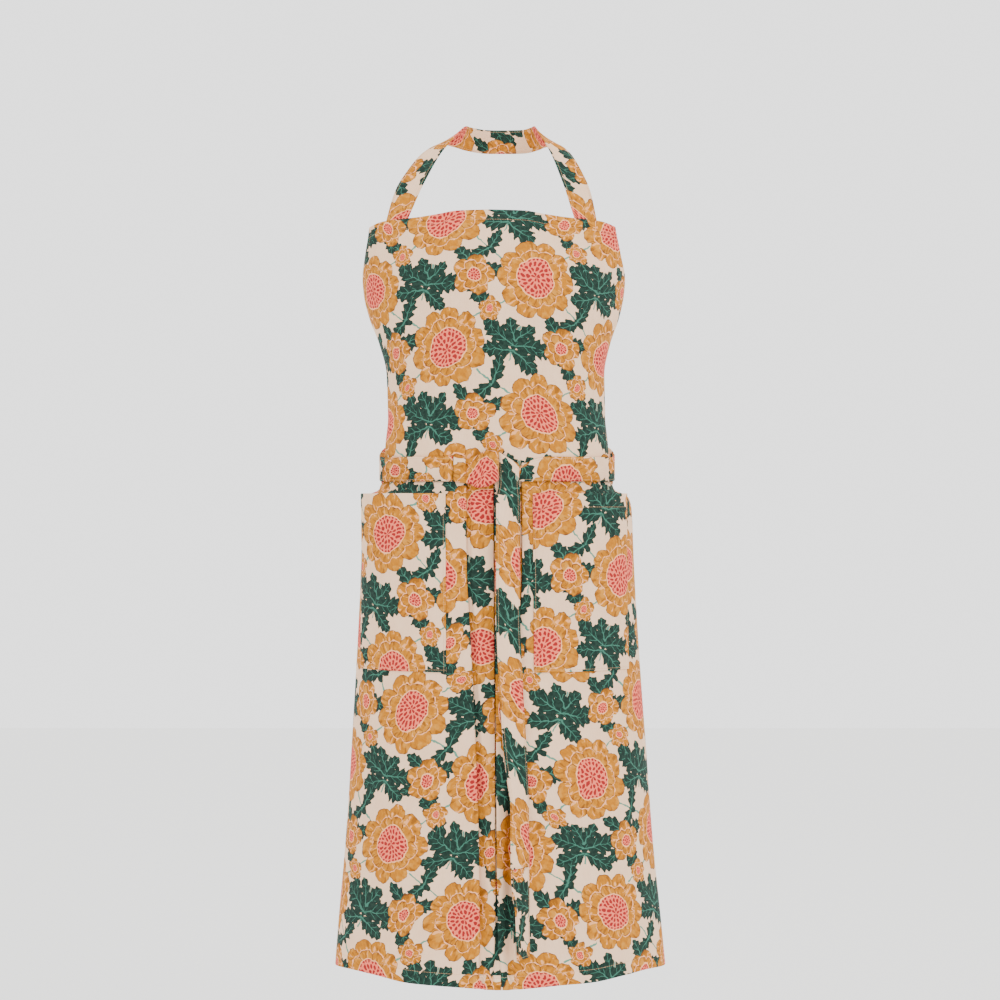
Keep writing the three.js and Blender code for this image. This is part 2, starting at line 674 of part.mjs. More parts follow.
// A tail hangs in front of the skirt from beside the knot
const tailHalfTop = (frontTailForm[0].wide * tieWidth) / 2;
const tailX = knotRight + clearance + tailHalfTop;
const tailSteps = 4;           // places read between two rows of a tail's table
const slantFade = 0.1;         // share of a tail's length below which both edges hang level
function makeTail(name, form, topZ, length, slant) {
  const drops = [0];
  for (let row = 1; row < form.length; row += 1) {
    for (let step = 1; step <= tailSteps; step += 1) {
      drops.push(THREE.MathUtils.lerp(form[row - 1].drop, form[row].drop, step / tailSteps));
    }
  }
  const grid = [];
  for (const drop of drops) {
    const read = (column) => readTable(form, 'drop', column, drop);
    const z = topZ - length * drop;
    const body = z > tieZ - tieWidth / 2 ? tieBody : bodyAt(z);
    const x = tailX + read('aside') * tieWidth;
    const frontY = body.y - body.depth * Math.sqrt(1 - ((x - body.x) / body.halfWidth) ** 2);
    const y = frontY - clothThickness / 2 - read('off') * tieWidth;
    const half = (read('wide') * tieWidth) / 2;
    const [dx, dy] = [half * Math.cos(radians(read('twist'))), half * Math.sin(radians(read('twist')))];
    const rise = (slant * tieWidth / 2) * (1 - THREE.MathUtils.smoothstep(drop, 0, slantFade));
    grid.push([new THREE.Vector3(x - dx, y - dy, z + rise), new THREE.Vector3(x + dx, y + dy, z - rise)]);
  }
  return clothWall(name, bandColour, grid, bandThickness);
}

const apron = new THREE.Group();
apron.add(makeBib());
apron.add(makeSkirt());
apron.add(makePocket('pocket_left', -1));
apron.add(makePocket('pocket_right', 1));
apron.add(makeNeckStrap());
apron.add(makeWaistTie('waist_tie_left', -1, lowerTieForm, knotRight + clearance, true));
apron.add(makeWaistTie('waist_tie_right', 1, upperTieForm, knotLeft - clearance, false));
apron.add(makeKnot());
const frontTailTopZ = tieZ + frontTailTop * tieWidth;
const backTailTopZ = tieZ + backTailTop * tieWidth;
apron.add(makeTail('tie_tail_front', frontTailForm, frontTailTopZ, frontTailLength, frontTailSlant));
apron.add(makeTail('tie_tail_back', backTailForm, backTailTopZ, backTailLength, 0));

export default apron;
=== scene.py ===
import math

import bmesh
import bpy
import numpy as np
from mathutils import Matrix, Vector


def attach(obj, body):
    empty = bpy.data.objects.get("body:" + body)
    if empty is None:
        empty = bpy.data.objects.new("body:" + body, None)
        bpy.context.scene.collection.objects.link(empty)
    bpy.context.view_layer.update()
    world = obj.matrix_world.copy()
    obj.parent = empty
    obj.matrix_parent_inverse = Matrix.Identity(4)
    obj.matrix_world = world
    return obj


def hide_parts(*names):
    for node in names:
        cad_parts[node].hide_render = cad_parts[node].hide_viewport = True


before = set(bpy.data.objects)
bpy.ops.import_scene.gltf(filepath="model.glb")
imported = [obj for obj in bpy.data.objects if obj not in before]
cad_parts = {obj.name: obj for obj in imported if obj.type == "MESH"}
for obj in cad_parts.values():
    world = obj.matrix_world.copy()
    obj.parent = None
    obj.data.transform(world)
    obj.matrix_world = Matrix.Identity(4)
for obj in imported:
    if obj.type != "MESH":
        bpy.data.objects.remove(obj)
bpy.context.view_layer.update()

# A bib apron of printed cotton, in the form it has when it is worn. Lengths in the tables
# and dictionaries are millimetres, as in the CAD source, and become metres in the mesh.
mm = 0.001

# Camera, floor and lights
print("camera, floor and lights")
studio = {
    "lens": 82,
    "camera": (0.0, -3.106, -0.488),
    "floorHeight": -1.5,
    "floorSize": 14.0,
    "world": 2.2,
    "lightsAim": (0, 0, -0.5),
}

cameraData = bpy.data.cameras.new("camera")
cameraData.lens = studio["lens"]
cameraData.sensor_width = 36
camera = bpy.data.objects.new("camera", cameraData)
camera.location = studio["camera"]
camera.rotation_euler = (math.pi / 2, 0, 0)
bpy.context.scene.collection.objects.link(camera)
bpy.context.scene.camera = camera


def linearColour(text):
    channels = [int(text[i:i + 2], 16) / 255 for i in (1, 3, 5)]
    return (*[c / 12.92 if c <= 0.04045 else ((c + 0.055) / 1.055) ** 2.4 for c in channels], 1.0)


# Adds a node. The kind may name the operation too, as in "Math ADD"; inputs come in order
# or by key, and the socket that is given back is the one numbered `output`.
def addNode(tree, kind, *inputs, output=0, keyed=None, **settings):
    kind, _, operation = kind.partition(" ")
    node = tree.nodes.new("ShaderNode" + kind)
    if operation:
        node.operation = operation
    for key, value in settings.items():
        setattr(node, key, value)
    for key, value in [*enumerate(inputs), *(keyed or {}).items()]:
        if isinstance(value, bpy.types.NodeSocket):
            tree.links.new(value, node.inputs[key])
        elif value is not None:
            node.inputs[key].default_value = value
    return node.outputs[output] if len(node.outputs) else node


world = bpy.data.worlds.new("studio")
world.use_nodes = True
world.node_tree.nodes["Background"].inputs["Color"].default_value = linearColour("#FFFFFF")
world.node_tree.nodes["Background"].inputs["Strength"].default_value = studio["world"]
bpy.context.scene.world = world

floorMaterial = bpy.data.materials.new("painted floor")
floorMaterial.use_nodes = True
floorShader = floorMaterial.node_tree.nodes["Principled BSDF"]
floorShader.inputs["Base Color"].default_value = linearColour("#F4F4F2")
floorShader.inputs["Roughness"].default_value = 0.9
floorMesh = bpy.data.meshes.new("floor")
floorBuild = bmesh.new()
bmesh.ops.create_grid(floorBuild, x_segments=1, y_segments=1, size=studio["floorSize"] / 2)
bmesh.ops.translate(floorBuild, verts=floorBuild.verts, vec=(0, 0, studio["floorHeight"]))
floorBuild.to_mesh(floorMesh)
floorBuild.free()
floorMesh.materials.append(floorMaterial)
floor = bpy.data.objects.new("floor", floorMesh)
bpy.context.scene.collection.objects.link(floor)

softLights = [
    {"name": "key", "place": (1.5, -2.6, 1.3), "size": 1.4, "watts": 40},
    {"name": "fill", "place": (-2.2, -2.4, 0.2), "size": 2.2, "watts": 6},
    {"name": "back", "place": (0.6, 2.8, 1.2), "size": 2.2, "watts": 8},
]
for light in softLights:
    lightData = bpy.data.lights.new(light["name"], "AREA")
    lightData.shape = "SQUARE"
    lightData.size = light["size"]
    lightData.energy = light["watts"]
    lamp = bpy.data.objects.new(light["name"], lightData)
    lamp.location = light["place"]
    toward = Vector(studio["lightsAim"]) - Vector(light["place"])
    lamp.rotation_euler = toward.to_track_quat("-Z", "Y").to_euler()
    bpy.context.scene.collection.objects.link(lamp)

# The outline that the cloth follows, as in the CAD source
print("outline that the cloth follows")
solids = {"wall": 1.5, "bandWall": 2.0, "clearance": 0.4}
figure = {
    "bibTop": -112, "bibHeight": 328, "skirtLength": 671, "topEdgeSag": 17, "hemRise": 10,
    "bust": (174, 122, 75),      # half width, depth, how far forward its middle is
    "waist": (150, 95, 80),
    "hem": (219, 150, 58),
    "neck": (55, 62),
    "bustLean": -8, "waistLean": -4,
    "slip": -4,                  # how far round the body the whole front has slipped
}
waistZ = figure["bibTop"] - figure["bibHeight"]
hemZ = waistZ - figure["skirtLength"]

bibForm = [  # drop, width, depth, edge
    (0, 0.92, -0.63, 68), (0.075, 0.92, -0.2, 71.5), (0.13, 0.94, 0.15, 75), (0.185, 0.97, 0.52, 79),
    (0.245, 1, 0.86, 86), (0.32, 0.92, 1, 91), (0.41, 0.64, 0.95, 93), (0.51, 0.15, 0.74, 92),
    (0.64, -0.22, 0.42, 90), (0.81, -0.24, 0.14, 87), (0.92, -0.08, 0.04, 83.5), (1, 0, 0, 82),
]
topEdgeForm = [(0, 0), (0.25, 0.06), (0.42, 0.34), (0.6, 0.55), (0.85, 0.68), (1, 1)]  # across, sag
skirtForm = [  # drop, width, depth, edge
    (0, 0, 0, 82), (0.036, 0.015, 0.015, 82), (0.043, 0.07, 0.03, 82), (0.052, 0.1, 0.045, 83),
    (0.06, 0.27, 0.09, 84), (0.068, 0.36, 0.13, 86), (0.09, 0.41, 0.16, 88), (0.2, 0.45, 0.3, 91),
    (0.37, 0.54, 0.53, 95), (0.57, 0.67, 0.71, 98), (0.77, 0.8, 0.85, 100), (0.92, 0.93, 0.96, 102),
    (1, 1, 1, 103),
]


def lerp(a, b, t):
    return a + (b - a) * t


def smoothstep(value, low, high):
    t = min(1, max(0, (value - low) / (high - low)))
    return t * t * (3 - 2 * t)


# A place on a curve from a to b, which leaves and arrives at the given slopes
def curveBetween(a, slopeA, b, slopeB, t):
    return ((2 * t**3 - 3 * t**2 + 1) * a + (t**3 - 2 * t**2 + t) * slopeA
            + (3 * t**2 - 2 * t**3) * b + (t**3 - t**2) * slopeB)


# One column of a table, along a curve through its rows that never swings past them
def readTable(table, column, at):
    row = 0
    while row < len(table) - 2 and at > table[row + 1][0]:
        row += 1

    def slopeBetween(first):
        a, b = table[first], table[first + 1]
        return (b[column] - a[column]) / (b[0] - a[0])

    def slopeAt(index):
        if index in (0, len(table) - 1):
            return slopeBetween(max(0, index - 1))
        before, after = slopeBetween(index - 1), slopeBetween(index)
        return 0 if before * after <= 0 else 2 * before * after / (before + after)

    a, b = table[row], table[row + 1]
    span = b[0] - a[0]
    t = min(1, max(0, (at - a[0]) / span))
    return curveBetween(a[column], span * slopeAt(row), b[column], span * slopeAt(row + 1), t)


angleStep = 0.5
angleSteps = np.arange(0, 270 + angleStep, angleStep)
angleMiddles = np.radians(angleSteps[:-1] + angleStep / 2)


def outlineAt(z):
    waist = figure["waist"]
    if z > waistZ:
        drop = (figure["bibTop"] - z) / figure["bibHeight"]
        width, depth, edge = [readTable(bibForm, column, drop) for column in (1, 2, 3)]
        far, toWaist = figure["bust"], smoothstep(drop, 0.3, 1)
        x, y = lerp(figure["bustLean"], figure["waistLean"], toWaist), -lerp(far[2], waist[2], toWaist)
    else:
        drop = (waistZ - z) / figure["skirtLength"]
        width, depth, edge = [readTable(skirtForm, column, drop) for column in (1, 2, 3)]
        far, x = figure["hem"], figure["waistLean"] * max(0, 1 - drop)
        y = -lerp(waist[2], far[2], min(1, max(0, drop)))
    halfWidth, halfDepth = lerp(waist[0], far[0], width), lerp(waist[1], far[1], depth)
    steps = np.hypot(halfWidth * np.cos(angleMiddles), halfDepth * np.sin(angleMiddles))
    steps *= math.radians(angleStep)
    return {"z": z, "x": x, "y": y, "halfWidth": halfWidth, "depth": halfDepth, "edge": edge,
            "arcs": np.concatenate([[0], np.cumsum(steps)])}


def atAngle(body, degrees, out=0.0):
    sin, cos = math.sin(math.radians(degrees)), math.cos(math.radians(degrees))
    nx, ny = sin / body["halfWidth"], -cos / body["depth"]
    size = math.hypot(nx, ny)
    return Vector((body["x"] + body["halfWidth"] * sin + nx / size * out,
                   body["y"] - body["depth"] * cos + ny / size * out, body["z"]))


def arcTo(body, degrees):
    return float(np.interp(degrees, angleSteps, body["arcs"]))


def atArc(body, arc, out=0.0):
    arc += figure["slip"]
    return atAngle(body, math.copysign(float(np.interp(abs(arc), body["arcs"], angleSteps)), arc), out)


# Soft uneven relief, from about -1 to 1, of a place given in wavelengths
def unevenness(a, b, seed):
    return (math.sin(a + seed) * math.cos(0.7 * b + 2.1 * seed)
            + 0.6 * math.sin(1.9 * a - 0.5 * b + 3.7 * seed)
            + 0.4 * math.cos(3.1 * a + 1.3 * b + seed)) / 2


# Turned-in edges: how far a place lies beyond the edge and how deep behind the cloth, once
# the cloth has gone `past` the edge
def hemTurn(past, bend):
    if past <= math.pi * bend:
        return bend * math.sin(past / bend), bend * (1 - math.cos(past / bend))
    return math.pi * bend - past, 2 * bend


def hemPasts(bend, width, bendSteps=5, flatSteps=3):
    turned = [math.pi * bend * step / bendSteps for step in range(1, bendSteps + 1)]
    return turned + [math.pi * bend + width * step / flatSteps for step in range(1, flatSteps + 1)]


# The print: a generic floral in a half drop. Its lattice and motif sizes in millimetres.
print("printed cotton")
floral = {
    "column": 118, "repeat": 176,
    "flower": 52, "flowerEye": 24, "stemHalfWidth": 1.1, "stemReach": 26.0, "hub": 6.5,
    "drift": ((0.016, 0.0, 16.0), (0.1, 2.0, 7.0)),      # scale, detail and amount of each wobble
}
dyes = {
    "ground": "#E2B895", "groundLight": "#EDC9A6",
    "ochre": "#A56516", "ochreLight": "#B97616", "ochreDark": "#824E16",
    "ochrePale": "#CC8E3A", "outline": "#6B3C1A", "peach": "#F0A878",
    "pink": "#E97058", "coral": "#932625",
    "green": "#22362E", "greenDark": "#1A2B25", "teal": "#3B6A5A", "sage": "#5A8774",
}
dyes = {name: linearColour(value) for name, value in dyes.items()}

def newGroup(name, inputs, outputs):
    tree = bpy.data.node_groups.new(name, "ShaderNodeTree")
    for direction, sockets in (("INPUT", inputs), ("OUTPUT", outputs)):
        for label, kind in sockets.items():
            tree.interface.new_socket(name=label, in_out=direction, socket_type="NodeSocket" + kind)
    return tree, tree.nodes.new("NodeGroupInput").outputs, tree.nodes.new("NodeGroupOutput").inputs


# A place within the motif's own cell of the half drop lattice, turned a little by chance
def makeLattice():
    tree, given, result = newGroup(
        "half drop lattice", {"Place": "Vector", "Offset": "Vector", "Turn": "Float"},
        {"Local": "Vector"})
    across, repeat = floral["column"], floral["repeat"]
    moved = addNode(tree, "VectorMath SUBTRACT", given["Place"], given["Offset"])
    parts = addNode(tree, "SeparateXYZ", moved).node.outputs
    share = addNode(tree, "Math MULTIPLY_ADD", parts[0], 1 / across, 0.5)
    column = addNode(tree, "Math FLOOR", share)
    x = addNode(tree, "Math MULTIPLY_ADD", column, -across, parts[0])
    odd = addNode(tree, "Math FLOORED_MODULO", column, 2.0)
    dropped = addNode(tree, "Math MULTIPLY_ADD", odd, repeat / 2, parts[1])
    y = addNode(tree, "Math WRAP", dropped, repeat / 2, -repeat / 2)
    row = addNode(tree, "Math ROUND", addNode(tree, "Math DIVIDE", dropped, repeat))
    cell = addNode(tree, "CombineXYZ", column, row)
    chance = addNode(tree, "TexWhiteNoise", cell)
    swing = addNode(tree, "Math MULTIPLY_ADD", chance, 0.5, given["Turn"])
    turned = addNode(tree, "VectorRotate", rotation_type="Z_AXIS", keyed={
        "Vector": addNode(tree, "CombineXYZ", x, y), "Angle": swing})
    tree.links.new(turned, result["Local"])
    return tree


leafShape = {
    "swell": 0.62,               # less is blunter at both ends
    "lobe": 5.0, "lobeSlant": 0.7, "lobeDepth": 0.085, "body": 0.64,
    "rib": 0.1, "ribSwell": 0.9,
    "veinSpacing": 10, "veinSlant": 1.1, "veinShare": 0.1, "veinReach": 0.6,
}


# One leaf with a lobed edge, growing from its base along its own X
def makeLeaf():
    tree, given, result = newGroup(
        "lobed leaf",
        {"Local": "Vector", "Base": "Vector", "Turn": "Float", "Length": "Float", "Width": "Float"},
        {"Mask": "Float", "Vein": "Float"})
    moved = addNode(tree, "VectorMath SUBTRACT", given["Local"], given["Base"])
    turned = addNode(tree, "VectorRotate", rotation_type="Z_AXIS", keyed={
        "Vector": moved, "Angle": addNode(tree, "Math MULTIPLY", given["Turn"], -1.0)})
    parts = addNode(tree, "SeparateXYZ", turned).node.outputs
    share = addNode(tree, "Math DIVIDE", parts[0], given["Length"])
    off = addNode(tree, "Math ABSOLUTE", parts[1])
    rest = addNode(tree, "Math SUBTRACT", 1.0, share)
    belly = addNode(tree, "Math MAXIMUM", addNode(tree, "Math MULTIPLY", share, rest), 0.0)
    swell = addNode(tree, "Math POWER", addNode(tree, "Math MULTIPLY", belly, 4.0), leafShape["swell"])
    slanted = addNode(tree, "Math MULTIPLY_ADD", off, -leafShape["lobeSlant"], parts[0])
    lobe = addNode(tree, "Math PINGPONG", slanted, leafShape["lobe"])
    half = addNode(tree, "Math MULTIPLY", addNode(tree, "Math MULTIPLY", swell, given["Width"]),
                   addNode(tree, "Math MULTIPLY_ADD", lobe, leafShape["lobeDepth"], leafShape["body"]))
    mask = addNode(tree, "Math LESS_THAN", off, half)
    ribWidth = addNode(tree, "Math MULTIPLY_ADD", rest, leafShape["ribSwell"], leafShape["rib"])
    rib = addNode(tree, "Math LESS_THAN", off, ribWidth)
    slanted = addNode(tree, "Math MULTIPLY_ADD", off, -leafShape["veinSlant"], parts[0])
    turns = addNode(tree, "Math MULTIPLY", slanted, 1 / leafShape["veinSpacing"])
    strip = addNode(tree, "Math LESS_THAN", addNode(tree, "Math FRACT", turns), leafShape["veinShare"])
    reach = addNode(tree, "Math MULTIPLY", half, leafShape["veinReach"])
    short = addNode(tree, "Math LESS_THAN", off, reach)
    vein = addNode(tree, "Math MAXIMUM", rib, addNode(tree, "Math MULTIPLY", strip, short))
    tree.links.new(mask, result["Mask"])
    tree.links.new(addNode(tree, "Math MULTIPLY", mask, vein), result["Vein"])
    return tree


# Mixes colours over each other, from the bottom up
def layColours(tree, base, layers):
    for mask, colour in layers:
        base = addNode(tree, "Mix", data_type="RGBA", output=2, keyed={0: mask, 6: base, 7: colour})
    return base


petalShape = {
    "roundness": 2.6, "seam": 0.5,
    "rim": (2.6, -0.5), "gap": (-5.5, 1.4),     # a share of the grain, and an offset in millimetres
    "grainAcross": 5.5, "grainAlong": 0.07,
}


# One ring of petals seen from above: masks for the petals, their outlines and the pale
# brush gap round them, and a grain that runs out along the petals
def petalRing(tree, angle, away, count, radius, notch, phase):
    turned = addNode(tree, "Math MULTIPLY_ADD", angle, float(count), phase)
    within = addNode(tree, "Math FRACT", turned)
    side = addNode(tree, "Math ABSOLUTE", addNode(tree, "Math SUBTRACT", within, 0.5))
    curve = addNode(tree, "Math POWER", addNode(tree, "Math MULTIPLY", side, 2.0), petalShape["roundness"])
    edge = addNode(tree, "Math MULTIPLY_ADD", curve, -notch * radius, float(radius))
    place = addNode(tree, "CombineXYZ", addNode(tree, "Math MULTIPLY", turned, petalShape["grainAcross"]),
                    addNode(tree, "Math MULTIPLY", away, petalShape["grainAlong"]))
    grain = addNode(tree, "TexNoise", place, keyed={"Scale": 1.0, "Detail": 1.5, "Roughness": 0.6})
    inside = addNode(tree, "Math SUBTRACT", edge, away)
    petals = addNode(tree, "Math GREATER_THAN", inside, 0.0)
    rimWidth = addNode(tree, "Math MULTIPLY_ADD", grain, *petalShape["rim"])
    rim = addNode(tree, "Math LESS_THAN", inside, rimWidth)
    between = addNode(tree, "Math MULTIPLY", addNode(tree, "Math SUBTRACT", 0.5, side), away)
    seam = addNode(tree, "Math LESS_THAN", between, petalShape["seam"] * count / (2 * math.pi))
    line = addNode(tree, "Math MULTIPLY", addNode(tree, "Math MAXIMUM", rim, seam), petals)
    gapWidth = addNode(tree, "Math MULTIPLY_ADD", grain, *petalShape["gap"])
    gap = addNode(tree, "Math GREATER_THAN", inside, gapWidth)
    return petals, line, gap, grain


# A flower built from its rings, outermost first, with an eye of short dashes
def makeFlower(name, rings, eye, dashLength):
    tree, given, result = newGroup(name, {"Local": "Vector"}, {"Colour": "Color", "Mask": "Float"})
    parts = addNode(tree, "SeparateXYZ", given["Local"]).node.outputs
    away = addNode(tree, "VectorMath LENGTH", given["Local"], output=1)
    angle = addNode(tree, "Math MULTIPLY", addNode(tree, "Math ARCTAN2", parts[1], parts[0]),
                    1 / (2 * math.pi))
    colour, mask = dyes["ochre"], None
    wash = addNode(tree, "TexNoise", given["Local"], keyed={"Scale": 0.1, "Detail": 3.0})
    pale = addNode(tree, "MapRange", wash, 0.5, 0.62, 0.0, 0.55)
    for index, (count, radius, notch, phase) in enumerate(rings):
        petals, line, gap, grain = petalRing(tree, angle, away, count, radius, notch, phase)
        light = addNode(tree, "MapRange", grain, 0.35, 0.6, 1.0, 0.0)
        dark = addNode(tree, "Math MULTIPLY", addNode(tree, "Math GREATER_THAN", grain, 0.6), 0.75)
        fleck = addNode(tree, "Math MULTIPLY", addNode(tree, "Math LESS_THAN", grain, 0.37), 0.7)
        tone = layColours(tree, dyes["ochre"], [
            (light, dyes["ochreLight"]), (pale, dyes["ochrePale"]),
            (dark, dyes["ochreDark"]), (fleck, dyes["peach"])])
        layers = [(petals, tone), (line, dyes["outline"])]
        if index:
            layers.insert(0, (gap, dyes["peach"]))
        colour = layColours(tree, colour, layers)
        mask = petals if mask is None else mask
    ringPlace = addNode(tree, "Math DIVIDE", away, dashLength)
    ringNumber = addNode(tree, "Math FLOOR", ringPlace)
    count = addNode(tree, "Math MULTIPLY_ADD", ringNumber, 7.0, 5.0)
    stagger = addNode(tree, "Math MULTIPLY", ringNumber, 0.37)
    aroundRing = addNode(tree, "Math FRACT", addNode(tree, "Math MULTIPLY_ADD", count, angle, stagger))
    aside = addNode(tree, "Math MULTIPLY_ADD", aroundRing, 3.0, -1.5)
    along = addNode(tree, "Math MULTIPLY_ADD", addNode(tree, "Math FRACT", ringPlace), 2.3, -1.15)
    spread = addNode(tree, "VectorMath LENGTH", addNode(tree, "CombineXYZ", aside, along), output=1)
    dash = addNode(tree, "Math LESS_THAN", spread, 1.0)
    inEye = addNode(tree, "Math LESS_THAN", away, float(eye))
    colour = layColours(tree, colour, [
        (addNode(tree, "Math LESS_THAN", away, eye + 1.5), dyes["peach"]),
        (inEye, dyes["pink"]),
        (addNode(tree, "Math MULTIPLY", dash, inEye), dyes["coral"])])
    tree.links.new(colour, result["Colour"])
    tree.links.new(mask, result["Mask"])
    return tree


# Where each motif lies in its cell, its turn in radians, and how it is made up. A leaf has
# its base, turn, length and width, and each is there twice, mirrored over the motif's own Y.
motifs = [
    {"kind": "leaves", "at": (-27, -86), "turn": 0.1,
     "leaves": [((0, 2), 1.05, 34, 11), ((0, -11), -0.4, 42, 13), ((0, -4), 0.3, 49, 15)]},
    {"kind": "leaves", "at": (58, -46), "turn": -1.1, "leaves": [((0, 0), 0.2, 32, 10)]},
    {"kind": "leaves", "at": (-60, -42), "turn": 0.8, "leaves": [((3, 0), -0.3, 29, 10)]},
    {"kind": "leaves", "at": (36, -84), "turn": 0.2,
     "leaves": [((4, 8), 0.5, 36, 11), ((4, -8), -0.8, 32, 11)]},
    {"kind": "blossom", "at": (36, -86), "turn": 0.3, "scale": 1.1},
    {"kind": "blossom", "at": (-60, -43), "turn": 1.3, "scale": 0.66},
    {"kind": "flower", "at": (0, 0), "turn": 0.0, "scale": 1.0},
]


def makePrint():
    lattice, leaf = makeLattice(), makeLeaf()
    flowers = {   # each ring: how many petals, radius, notch and phase
        "flower": makeFlower("round flower", [(10, floral["flower"], 0.17, 0), (9, 37, 0.14, 0.4)],
                             floral["flowerEye"], 6.8),
        "blossom": makeFlower("five petal blossom", [(5, 25, 0.3, 0), (5, 16.5, 0.28, 0.5)], 6.8, 3.8),
    }
    tree, given, result = newGroup("half drop floral", {"Place": "Vector"}, {"Colour": "Color"})
    # The hand that drew it wavered: a slow drift of whole motifs, then uneven edges
    place = given["Place"]
    for scale, detail, amount in floral["drift"]:
        wobble = addNode(tree, "TexNoise", given["Place"], output=1, keyed={"Scale": scale, "Detail": detail})
        centred = addNode(tree, "VectorMath SUBTRACT", wobble, (0.5, 0.5, 0.5))
        place = addNode(tree, "VectorMath MULTIPLY_ADD", centred, (amount, amount, 0.0), place)
    blotch = addNode(tree, "TexNoise", given["Place"], keyed={"Scale": 0.05, "Detail": 2.0})
    colour = layColours(tree, dyes["ground"], [(blotch, dyes["groundLight"])])
    patchy = addNode(tree, "TexNoise", given["Place"], keyed={"Scale": 0.22, "Detail": 2.0})
    patches = addNode(tree, "MapRange", patchy, 0.42, 0.58)
    green = layColours(tree, dyes["greenDark"], [(patches, dyes["green"])])
    for motif in motifs:
        cell = addNode(tree, "Group", place, (*motif["at"], 0.0), motif["turn"], node_tree=lattice)
        if motif["kind"] == "leaves":
            parts = addNode(tree, "SeparateXYZ", cell).node.outputs
            aside, along = [addNode(tree, "Math ABSOLUTE", part) for part in parts[:2]]
            local = addNode(tree, "CombineXYZ", aside, parts[1])
            stem = addNode(tree, "Math MULTIPLY",
                           addNode(tree, "Math LESS_THAN", aside, floral["stemHalfWidth"]),
                           addNode(tree, "Math LESS_THAN", along, floral["stemReach"]))
            hubPlace = addNode(tree, "VectorMath MULTIPLY_ADD", local, (1.5, 0.8, 0.0), (0.0, 2.4, 0.0))
            hubAway = addNode(tree, "VectorMath LENGTH", hubPlace, output=1)
            hub = addNode(tree, "Math LESS_THAN", hubAway, floral["hub"])
            colour = layColours(tree, colour, [(stem, dyes["sage"]), (hub, green)])
            for base, turn, length, width in motif["leaves"]:
                blade = addNode(tree, "Group", local, (*base, 0.0), turn, float(length), float(width),
                                node_tree=leaf)
                vein = blade.node.outputs["Vein"]
                colour = layColours(tree, colour, [(blade, green), (vein, dyes["teal"])])
        else:
            scaled = addNode(tree, "VectorMath SCALE", cell, keyed={"Scale": 1 / motif["scale"]})
            head = addNode(tree, "Group", scaled, node_tree=flowers[motif["kind"]])
            colour = layColours(tree, colour, [(head.node.outputs["Mask"], head)])
    tree.links.new(colour, result["Colour"])
    return tree


floralPrint = makePrint()


# Lock stitches of tan cotton thread, three to a centimetre. The colour shows through by
# `cover`, because a thread is finer than a pixel of the render.
stitch = {
    "length": 3.2, "threadShare": 0.78, "thread": 0.5, "groove": 2.2,
    "colour": "#C99C74", "cover": 0.6,
}

cotton = {
    "threadSpacing": 1.1,        # real threads lie 0.45 mm apart; coarser here, so that they show
    "slubAcross": 0.8, "slubAlong": 0.06,
    "shade": (0.95, 1.03),
    # relief of the slubs, the groove and the thread beside the weave's own, which is 1
    "slubHeight": 0.8, "grooveHeight": -5.0, "threadHeight": 3.0,
    "bumpHeight": 0.12, "bumpStrength": 0.35,
    "roughness": (0.82, 0.92), "ior": 1.46, "specular": 0.08, "sheen": 0.03, "sheenRoughness": 0.5,
    "inkOnFace": 1.0, "inkOnWrongSide": 0.42,
}


